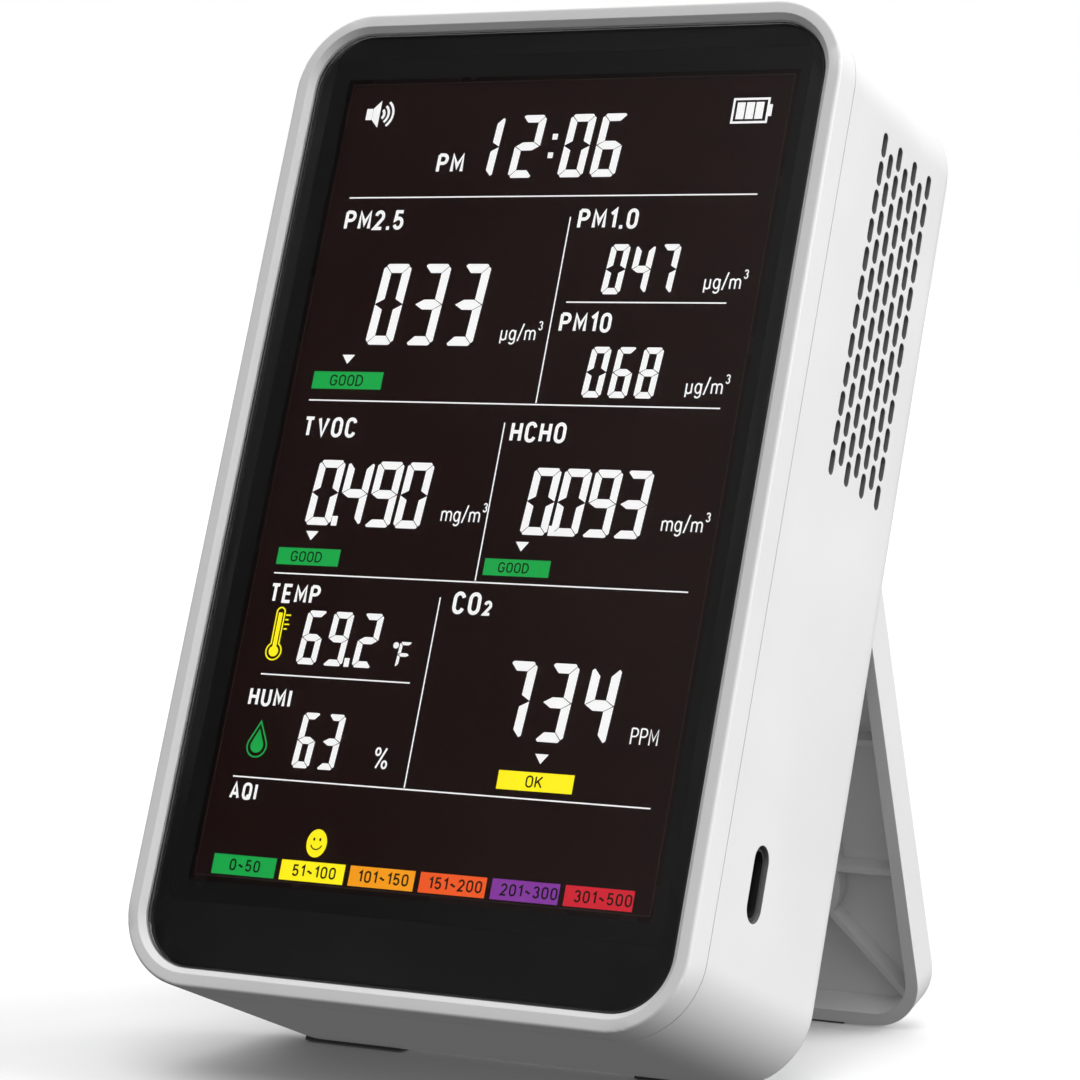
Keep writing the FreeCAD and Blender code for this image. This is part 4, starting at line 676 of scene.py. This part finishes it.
def brushed_metal(name, colour, roughness=0.32, stretch=(1.0, 30.0, 30.0)):
    """Plated or brushed metal: noise stretched along one axis varies gloss and bump."""
    material, shader, tree = new_material(name, colour, roughness, 1.0)
    link = tree.links.new
    mapping = tree.nodes.new("ShaderNodeMapping")
    mapping.inputs["Scale"].default_value = stretch
    noise = tree.nodes.new("ShaderNodeTexNoise")
    noise.inputs["Scale"].default_value = 160.0
    noise.inputs["Detail"].default_value = 4.0
    spread = tree.nodes.new("ShaderNodeMapRange")
    spread.inputs["To Min"].default_value = roughness - 0.08
    spread.inputs["To Max"].default_value = roughness + 0.12
    bump = tree.nodes.new("ShaderNodeBump")
    bump.inputs["Strength"].default_value = 0.15
    bump.inputs["Distance"].default_value = 0.01 * MM
    link(object_vector(tree), mapping.inputs["Vector"])
    link(mapping.outputs["Vector"], noise.inputs["Vector"])
    link(noise.outputs["Fac"], spread.inputs["Value"])
    link(spread.outputs["Result"], shader.inputs["Roughness"])
    link(noise.outputs["Fac"], bump.inputs["Height"])
    link(bump.outputs["Normal"], shader.inputs["Normal"])
    return material


def woven(name, thread, gap, pitch=0.5):
    """Dust mesh: two crossing sine waves along the display's own axes darken the gaps between threads."""
    material, shader, tree = new_material(name, thread, 0.8)
    link = tree.links.new
    vector = object_vector(tree)
    waves = []
    for axis in (BACKWARD, UPWARD):
        along = tree.nodes.new("ShaderNodeVectorMath")
        along.operation = "DOT_PRODUCT"
        along.inputs[1].default_value = tuple(axis * math.pi / (pitch * MM))
        link(vector, along.inputs[0])
        wave = tree.nodes.new("ShaderNodeMath")
        wave.operation = "SINE"
        link(along.outputs["Value"], wave.inputs[0])
        size = tree.nodes.new("ShaderNodeMath")
        size.operation = "ABSOLUTE"
        link(wave.outputs["Value"], size.inputs[0])
        waves.append(size)
    lower = tree.nodes.new("ShaderNodeMath")
    lower.operation = "MINIMUM"
    link(waves[0].outputs["Value"], lower.inputs[0])
    link(waves[1].outputs["Value"], lower.inputs[1])
    ramp = tree.nodes.new("ShaderNodeValToRGB")
    ramp.color_ramp.elements[0].position = 0.25
    ramp.color_ramp.elements[0].color = (*thread, 1.0)
    ramp.color_ramp.elements[1].position = 0.75
    ramp.color_ramp.elements[1].color = (*gap, 1.0)
    bump = tree.nodes.new("ShaderNodeBump")
    bump.invert = True
    bump.inputs["Strength"].default_value = 0.6
    bump.inputs["Distance"].default_value = 0.1 * MM
    link(lower.outputs["Value"], ramp.inputs["Fac"])
    link(ramp.outputs["Color"], shader.inputs["Base Color"])
    link(lower.outputs["Value"], bump.inputs["Height"])
    link(bump.outputs["Normal"], shader.inputs["Normal"])
    return material


def within(tree, value, low, high):
    """1 where a value lies between two limits given in millimetres, otherwise 0."""
    node = tree.nodes.new("ShaderNodeMath")
    node.operation = "COMPARE"
    tree.links.new(value, node.inputs[0])
    node.inputs[1].default_value = MM * (low + high) / 2
    node.inputs[2].default_value = MM * (high - low) / 2
    return node.outputs["Value"]


def combine(tree, operation, first, second):
    """Sum, product or other combination of two values."""
    node = tree.nodes.new("ShaderNodeMath")
    node.operation = operation
    tree.links.new(first, node.inputs[0])
    tree.links.new(second, node.inputs[1])
    return node.outputs["Value"]


def casing_finish():
    """White casing plastic with painted shade on the walls of its side vents and socket opening: their base
    colour is darkened in place of the little light that gets into them.
    """
    material = moulded("white_casing", (0.80, 0.80, 0.80), rough=(0.40, 0.52), depth=0.015)
    tree = material.node_tree
    link = tree.links.new
    base = tree.nodes["Principled BSDF"].inputs["Base Color"]
    plain = base.links[0].from_socket
    from_middle = tree.nodes.new("ShaderNodeVectorMath")
    from_middle.operation = "SUBTRACT"
    link(object_vector(tree), from_middle.inputs[0])
    from_middle.inputs[1].default_value = GLASS_CENTRE
    distances = []
    for direction in (ACROSS, BACKWARD, UPWARD):
        along = tree.nodes.new("ShaderNodeVectorMath")
        along.operation = "DOT_PRODUCT"
        link(from_middle.outputs["Vector"], along.inputs[0])
        along.inputs[1].default_value = direction
        distances.append(along.outputs["Value"])
    across, back, up = distances
    # painted shade: the base colour is darkened on the slot walls inside the vent and socket openings
    in_body = within(tree, across, -CASING_HALF_WIDTH + SLOT_EDGE, CASING_HALF_WIDTH - SLOT_EDGE)
    slots = [combine(tree, "MULTIPLY", within(tree, back, *span), within(tree, up, *rise))
             for span, rise in (VENT_AREA, SOCKET_AREA)]
    painted_slot_shade = combine(tree, "MULTIPLY", in_body, combine(tree, "MAXIMUM", *slots))
    shade = tree.nodes.new("ShaderNodeMapRange")
    shade.inputs["To Min"].default_value = 1.0
    shade.inputs["To Max"].default_value = SLOT_SHADE
    link(painted_slot_shade, shade.inputs["Value"])
    tone = tree.nodes.new("ShaderNodeVectorMath")
    tone.operation = "SCALE"
    link(plain, tone.inputs[0])
    link(shade.outputs["Result"], tone.inputs["Scale"])
    link(tone.outputs["Vector"], base)
    return material


def cover_glass():
    """Clear polished glass with a trace of handling haze in its gloss."""
    material, shader, tree = new_material("cover_glass", (1.0, 1.0, 1.0), 0.02)
    shader.inputs["Transmission Weight"].default_value = 1.0
    shader.inputs["IOR"].default_value = 1.46
    link = tree.links.new
    noise = tree.nodes.new("ShaderNodeTexNoise")
    noise.inputs["Scale"].default_value = 55.0
    spread = tree.nodes.new("ShaderNodeMapRange")
    spread.inputs["From Min"].default_value = 0.4
    spread.inputs["From Max"].default_value = 0.8
    spread.inputs["To Min"].default_value = 0.0
    spread.inputs["To Max"].default_value = 0.05
    link(object_vector(tree), noise.inputs["Vector"])
    link(noise.outputs["Fac"], spread.inputs["Value"])
    link(spread.outputs["Result"], shader.inputs["Roughness"])
    return material


def printed_black(name, colour):
    """Dense ink with a faint mottle."""
    return moulded(name, colour, grain=900.0, rough=(0.35, 0.5), depth=0.004, edge=0, gloss=0.15)


def lit_ink(name, colour):
    """Backlit LCD segment: glows in its own colour, a little uneven like a real light guide."""
    material, shader, tree = new_material("lit_" + name, tuple(c * 0.3 for c in colour), 0.5)
    link = tree.links.new
    noise = tree.nodes.new("ShaderNodeTexNoise")
    noise.inputs["Scale"].default_value = 22.0
    spread = tree.nodes.new("ShaderNodeMapRange")
    spread.inputs["To Min"].default_value = 0.93
    spread.inputs["To Max"].default_value = 1.05
    glow = tree.nodes.new("ShaderNodeVectorMath")
    glow.operation = "SCALE"
    glow.inputs[0].default_value = colour
    link(object_vector(tree), noise.inputs["Vector"])
    link(noise.outputs["Fac"], spread.inputs["Value"])
    link(spread.outputs["Result"], glow.inputs["Scale"])
    link(glow.outputs["Vector"], shader.inputs["Emission Color"])
    shader.inputs["Emission Strength"].default_value = 0.92
    return material


def board_finish():
    """Green solder mask with lighter copper runs under it, from a stepped brick pattern."""
    material, shader, tree = new_material("board", (0.02, 0.16, 0.07), 0.35)
    link = tree.links.new
    brick = tree.nodes.new("ShaderNodeTexBrick")
    brick.inputs["Scale"].default_value = 300.0
    brick.inputs["Mortar Size"].default_value = 0.06
    brick.inputs["Color1"].default_value = (0.015, 0.13, 0.055, 1)
    brick.inputs["Color2"].default_value = (0.018, 0.15, 0.065, 1)
    brick.inputs["Mortar"].default_value = (0.05, 0.26, 0.12, 1)
    link(object_vector(tree), brick.inputs["Vector"])
    link(brick.outputs["Color"], shader.inputs["Base Color"])
    return material


def node_finishes():
    """Finish for each of the record's material slots."""
    return {
        "white_casing": casing_finish(),
        "cover_glass": cover_glass(),
        "black_tape": moulded("black_tape", (0.012, 0.012, 0.012), grain=1500.0, rough=(0.8, 0.95)),
        "grey_filter": woven("dust_mesh", (0.17, 0.17, 0.172), (0.12, 0.12, 0.122)),
        "grey_rubber": moulded("rubber", (0.09, 0.09, 0.092), grain=1800.0, rough=(0.7, 0.85), depth=0.04),
        "steel": brushed_metal("plated_steel", (0.62, 0.62, 0.63)),
        "lcd_black": moulded("lcd_glass", (0.0170, 0.0076, 0.0066), grain=600.0, rough=(0.2, 0.3),
                             depth=0.002, edge=0, gloss=0.15),
        "light_guide": moulded("light_guide", (0.75, 0.8, 0.82), grain=900.0, rough=(0.1, 0.2), depth=0.01),
        "white_inner_plastic": moulded("inner_plastic", (0.78, 0.78, 0.75), rough=(0.5, 0.6)),
        "pin_metal": brushed_metal("tinned_pins", (0.75, 0.75, 0.72), 0.25),
        "green_board": board_finish(),
        "chip_black": moulded("chip", (0.02, 0.02, 0.022), grain=2000.0, rough=(0.5, 0.65), depth=0.02),
        "battery_film": brushed_metal("battery_foil", (0.66, 0.67, 0.69), 0.38, (6.0, 6.0, 1.0)),
        "lead_red": moulded("lead", (0.45, 0.02, 0.02), rough=(0.35, 0.45)),
        "sensor_black": moulded("sensor_case", (0.03, 0.03, 0.032), rough=(0.45, 0.6), depth=0.03),
        "brass": brushed_metal("gilt", (0.78, 0.56, 0.22), 0.28),
        "fan_plastic": moulded("fan", (0.045, 0.045, 0.05), rough=(0.4, 0.5)),
        "foam": moulded("foam", (0.05, 0.05, 0.05), grain=1200.0, rough=(0.9, 1.0), depth=0.2),
        "cell_white": moulded("gas_cell", (0.74, 0.74, 0.73), rough=(0.4, 0.5)),
        "ribbon_film": moulded("ribbon", (0.5, 0.2, 0.03), rough=(0.25, 0.4)),
        "button_plastic": moulded("key_caps", (0.70, 0.70, 0.70), grain=2200.0, rough=(0.38, 0.5)),
    }


# ================================================================== casing
SMOOTH_ANGLE = math.radians(28)
SHOWN_SHELLS = ("front_cover", "rear_case", "kickstand")


def smooth_shell(node, material):
    """Stand-in for a CAD shell with its triangles merged, so that round parts shade smoothly."""
    source = frame["nodes"][node]
    mesh = source.data.copy()
    work = bmesh.new()
    work.from_mesh(mesh)
    bmesh.ops.remove_doubles(work, verts=work.verts, dist=1e-7)
    for face in work.faces:
        face.smooth = True
    for edge in work.edges:
        edge.smooth = edge.is_manifold and edge.calc_face_angle(math.pi) < SMOOTH_ANGLE
    work.to_mesh(mesh)
    work.free()
    mesh.materials.clear()
    mesh.materials.append(material)
    shell = bpy.data.objects.new(node + "_shell", mesh)
    bpy.context.scene.collection.objects.link(shell)
    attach(shell, source["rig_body"])
    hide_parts(node)


# ================================================================== key symbols
BUTTON_NAMES = ("power_button", "set_button", "minus_button", "plus_button")
KEY_PROUD = 0.6                 # key tops outside the back panel
KEY_RING = 1.15                 # radius of the ring symbols
KEY_PEN = 0.3
POWER_STEM = (0.3, 1.5)         # foot and top of the power symbol's stem above the key's middle
SET_DOT = 0.42                  # radius of the dot on the set key
SIGN_REACH = 1.1                # half length of the minus and plus bars
SIGN_HALF = 0.16                # and half their thickness


def build_key_symbols():
    """Ink symbols on the four keys: a power ring, a dot in a ring, a minus and a plus."""
    ink = printed_black("key_ink", (0.10, 0.10, 0.105))
    for name in BUTTON_NAMES:
        low, high = (np.array(corner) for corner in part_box(name))
        middle = (low + high) / 2 - GLASS_CENTRE
        across = middle[0] / MM
        up = float(np.dot(middle, UPWARD)) / MM
        sheet = InkSheet(BACK_MOUNT_DEPTH + KEY_PROUD + PRINT_THICK)
        if name == "power_button":
            sheet.stroke(bend((across, up), KEY_RING, 120, 420, 24), KEY_PEN)
            foot, top = POWER_STEM
            sheet.box(across - KEY_PEN / 2, up + foot, across + KEY_PEN / 2, up + top)
        elif name == "set_button":
            sheet.stroke(bend((across, up), KEY_RING, 0, 350, 35), KEY_PEN, closed=True)
            sheet.disc((across, up), SET_DOT, 20)
        else:
            sheet.box(across - SIGN_REACH, up - SIGN_HALF, across + SIGN_REACH, up + SIGN_HALF)
            if name == "plus_button":
                sheet.box(across - SIGN_HALF, up + SIGN_HALF, across + SIGN_HALF, up + SIGN_REACH)
                sheet.box(across - SIGN_HALF, up - SIGN_REACH, across + SIGN_HALF, up - SIGN_HALF)
        sheet.finish(name + "_symbol", ink, "button_plastic", name + "_body")


# ================================================================== stage
FLOOR_REACH = 6.0               # metres from the middle to each side
SIDE_LIFT = (0.55, 0.95, 0.0, 0.30)     # ramps of the surround: low, high, and the value at each
SKY_RAMP = (0.12, 0.42, 0.19, 1.0)
FROM_FRONT = (-0.50, 0.10, 0.0, 1.0)
OVERHEAD = (0.62, 0.90, 0.0, 1.0)
FRONT_PANEL = (-0.60, 0.10, 0.02, 0.78)
SUNS = (                        # name, direction towards it, strength, width in degrees
    ("side_key", (0.86, 0.36, 0.36), 2.0, 50.0),
    ("high_fill", (0.15, -0.45, 0.88), 0.95, 40.0),
)


def ramp_over(tree, source, low, high, to_low, to_high):
    """Smooth step of a value between two levels."""
    node = tree.nodes.new("ShaderNodeMapRange")
    node.interpolation_type = "SMOOTHSTEP"
    for name, value in (("From Min", low), ("From Max", high), ("To Min", to_low), ("To Max", to_high)):
        node.inputs[name].default_value = value
    tree.links.new(source, node.inputs["Value"])
    return node.outputs["Result"]


def build_floor():
    """Wide pale floor that sends no light back up, so that the underside keeps its shade."""
    reach = FLOOR_REACH
    corners = [(-reach, -reach, 0), (reach, -reach, 0), (reach, reach, 0), (-reach, reach, 0)]
    floor = make_object("floor", corners, [(0, 1, 2, 3)])
    material, shader, _ = new_material("floor_paint", (0.92, 0.92, 0.92), 0.9)
    shader.inputs["Specular IOR Level"].default_value = 0.0
    floor.data.materials.append(material)
    floor.visible_diffuse = False
    floor.visible_glossy = False


def build_world():
    """Studio surround: bright at the sides and above, dim in front, where the glass looks, and dim below."""
    world = bpy.data.worlds.new("studio")
    world.use_nodes = True
    bpy.context.scene.world = world
    tree = world.node_tree
    tree.nodes.clear()
    parts = tree.nodes.new("ShaderNodeSeparateXYZ")
    tree.links.new(tree.nodes.new("ShaderNodeTexCoord").outputs["Generated"], parts.inputs["Vector"])
    across, depth, height = (parts.outputs[axis] for axis in "XYZ")
    lifted = combine(tree, "ADD", height, ramp_over(tree, across, *SIDE_LIFT))
    sky = ramp_over(tree, lifted, *SKY_RAMP)
    from_front = ramp_over(tree, depth, *FROM_FRONT)
    overhead = ramp_over(tree, height, *OVERHEAD)
    open_sky = combine(tree, "MAXIMUM", from_front, overhead)
    front_panel = ramp_over(tree, across, *FRONT_PANEL)
    bright = combine(tree, "MAXIMUM", open_sky, front_panel)
    strength = combine(tree, "MULTIPLY", sky, bright)
    lighting = tree.nodes.new("ShaderNodeBackground")
    lighting.inputs["Color"].default_value = (1.0, 1.0, 1.0, 1.0)
    tree.links.new(strength, lighting.inputs["Strength"])
    shown = tree.nodes.new("ShaderNodeBackground")
    shown.inputs["Color"].default_value = (1.0, 1.0, 1.0, 1.0)
    path = tree.nodes.new("ShaderNodeLightPath")
    choose = tree.nodes.new("ShaderNodeMixShader")
    tree.links.new(path.outputs["Is Camera Ray"], choose.inputs["Fac"])
    tree.links.new(lighting.outputs["Background"], choose.inputs[1])
    tree.links.new(shown.outputs["Background"], choose.inputs[2])
    output = tree.nodes.new("ShaderNodeOutputWorld")
    tree.links.new(choose.outputs["Shader"], output.inputs["Surface"])


def build_lights():
    """Two broad soft suns: a side key from the right and a little behind, and a high one from the front."""
    for name, source, strength, softness in SUNS:
        light = bpy.data.lights.new(name, "SUN")
        light.energy = strength
        light.angle = math.radians(softness)
        holder = bpy.data.objects.new(name, light)
        holder.rotation_euler = (-Vector(source)).to_track_quat("-Z", "Y").to_euler()
        bpy.context.scene.collection.objects.link(holder)


def build_camera():
    """Camera on a sphere round its target, given by azimuth, elevation, roll and distance."""
    data = bpy.data.cameras.new("view")
    data.lens = CAMERA_LENS
    data.sensor_width = SENSOR_WIDTH
    camera = bpy.data.objects.new("view", data)
    azimuth = math.radians(CAMERA_AZIMUTH)
    elevation = math.radians(CAMERA_ELEVATION)
    level = math.cos(elevation)
    forward = Vector((-math.sin(azimuth) * level, math.cos(azimuth) * level, -math.sin(elevation)))
    turn = Matrix.Rotation(math.radians(-CAMERA_ROLL), 4, forward)
    facing = turn @ forward.to_track_quat("-Z", "Y").to_matrix().to_4x4()
    camera.matrix_world = Matrix.Translation(Vector(CAMERA_TARGET) - forward * CAMERA_DISTANCE) @ facing
    bpy.context.scene.collection.objects.link(camera)
    bpy.context.scene.camera = camera


# ================================================================== assembly
bpy.context.scene.view_settings.view_transform = "Standard"
FINISHES = node_finishes()
SLOT_OF = {row["node"]: row["material_slot"] for row in frame["record"]["subparts"]}
for node_name, node_object in frame["nodes"].items():
    node_object.data.materials.clear()
    node_object.data.materials.append(FINISHES[SLOT_OF[node_name]])
# Socket shell in a metal far darker than plated steel: painted shade inside the socket opening.
SOCKET_METAL_PAINTED_SHADE = brushed_metal("socket_metal_painted_shade", (0.10, 0.10, 0.105), 0.45)
frame["nodes"]["usb_c_shell"].data.materials[0] = SOCKET_METAL_PAINTED_SHADE
for shell_name in SHOWN_SHELLS:
    smooth_shell(shell_name, FINISHES["white_casing"])
build_display()
build_border_print()
build_key_symbols()
build_floor()
build_world()
build_lights()
build_camera()
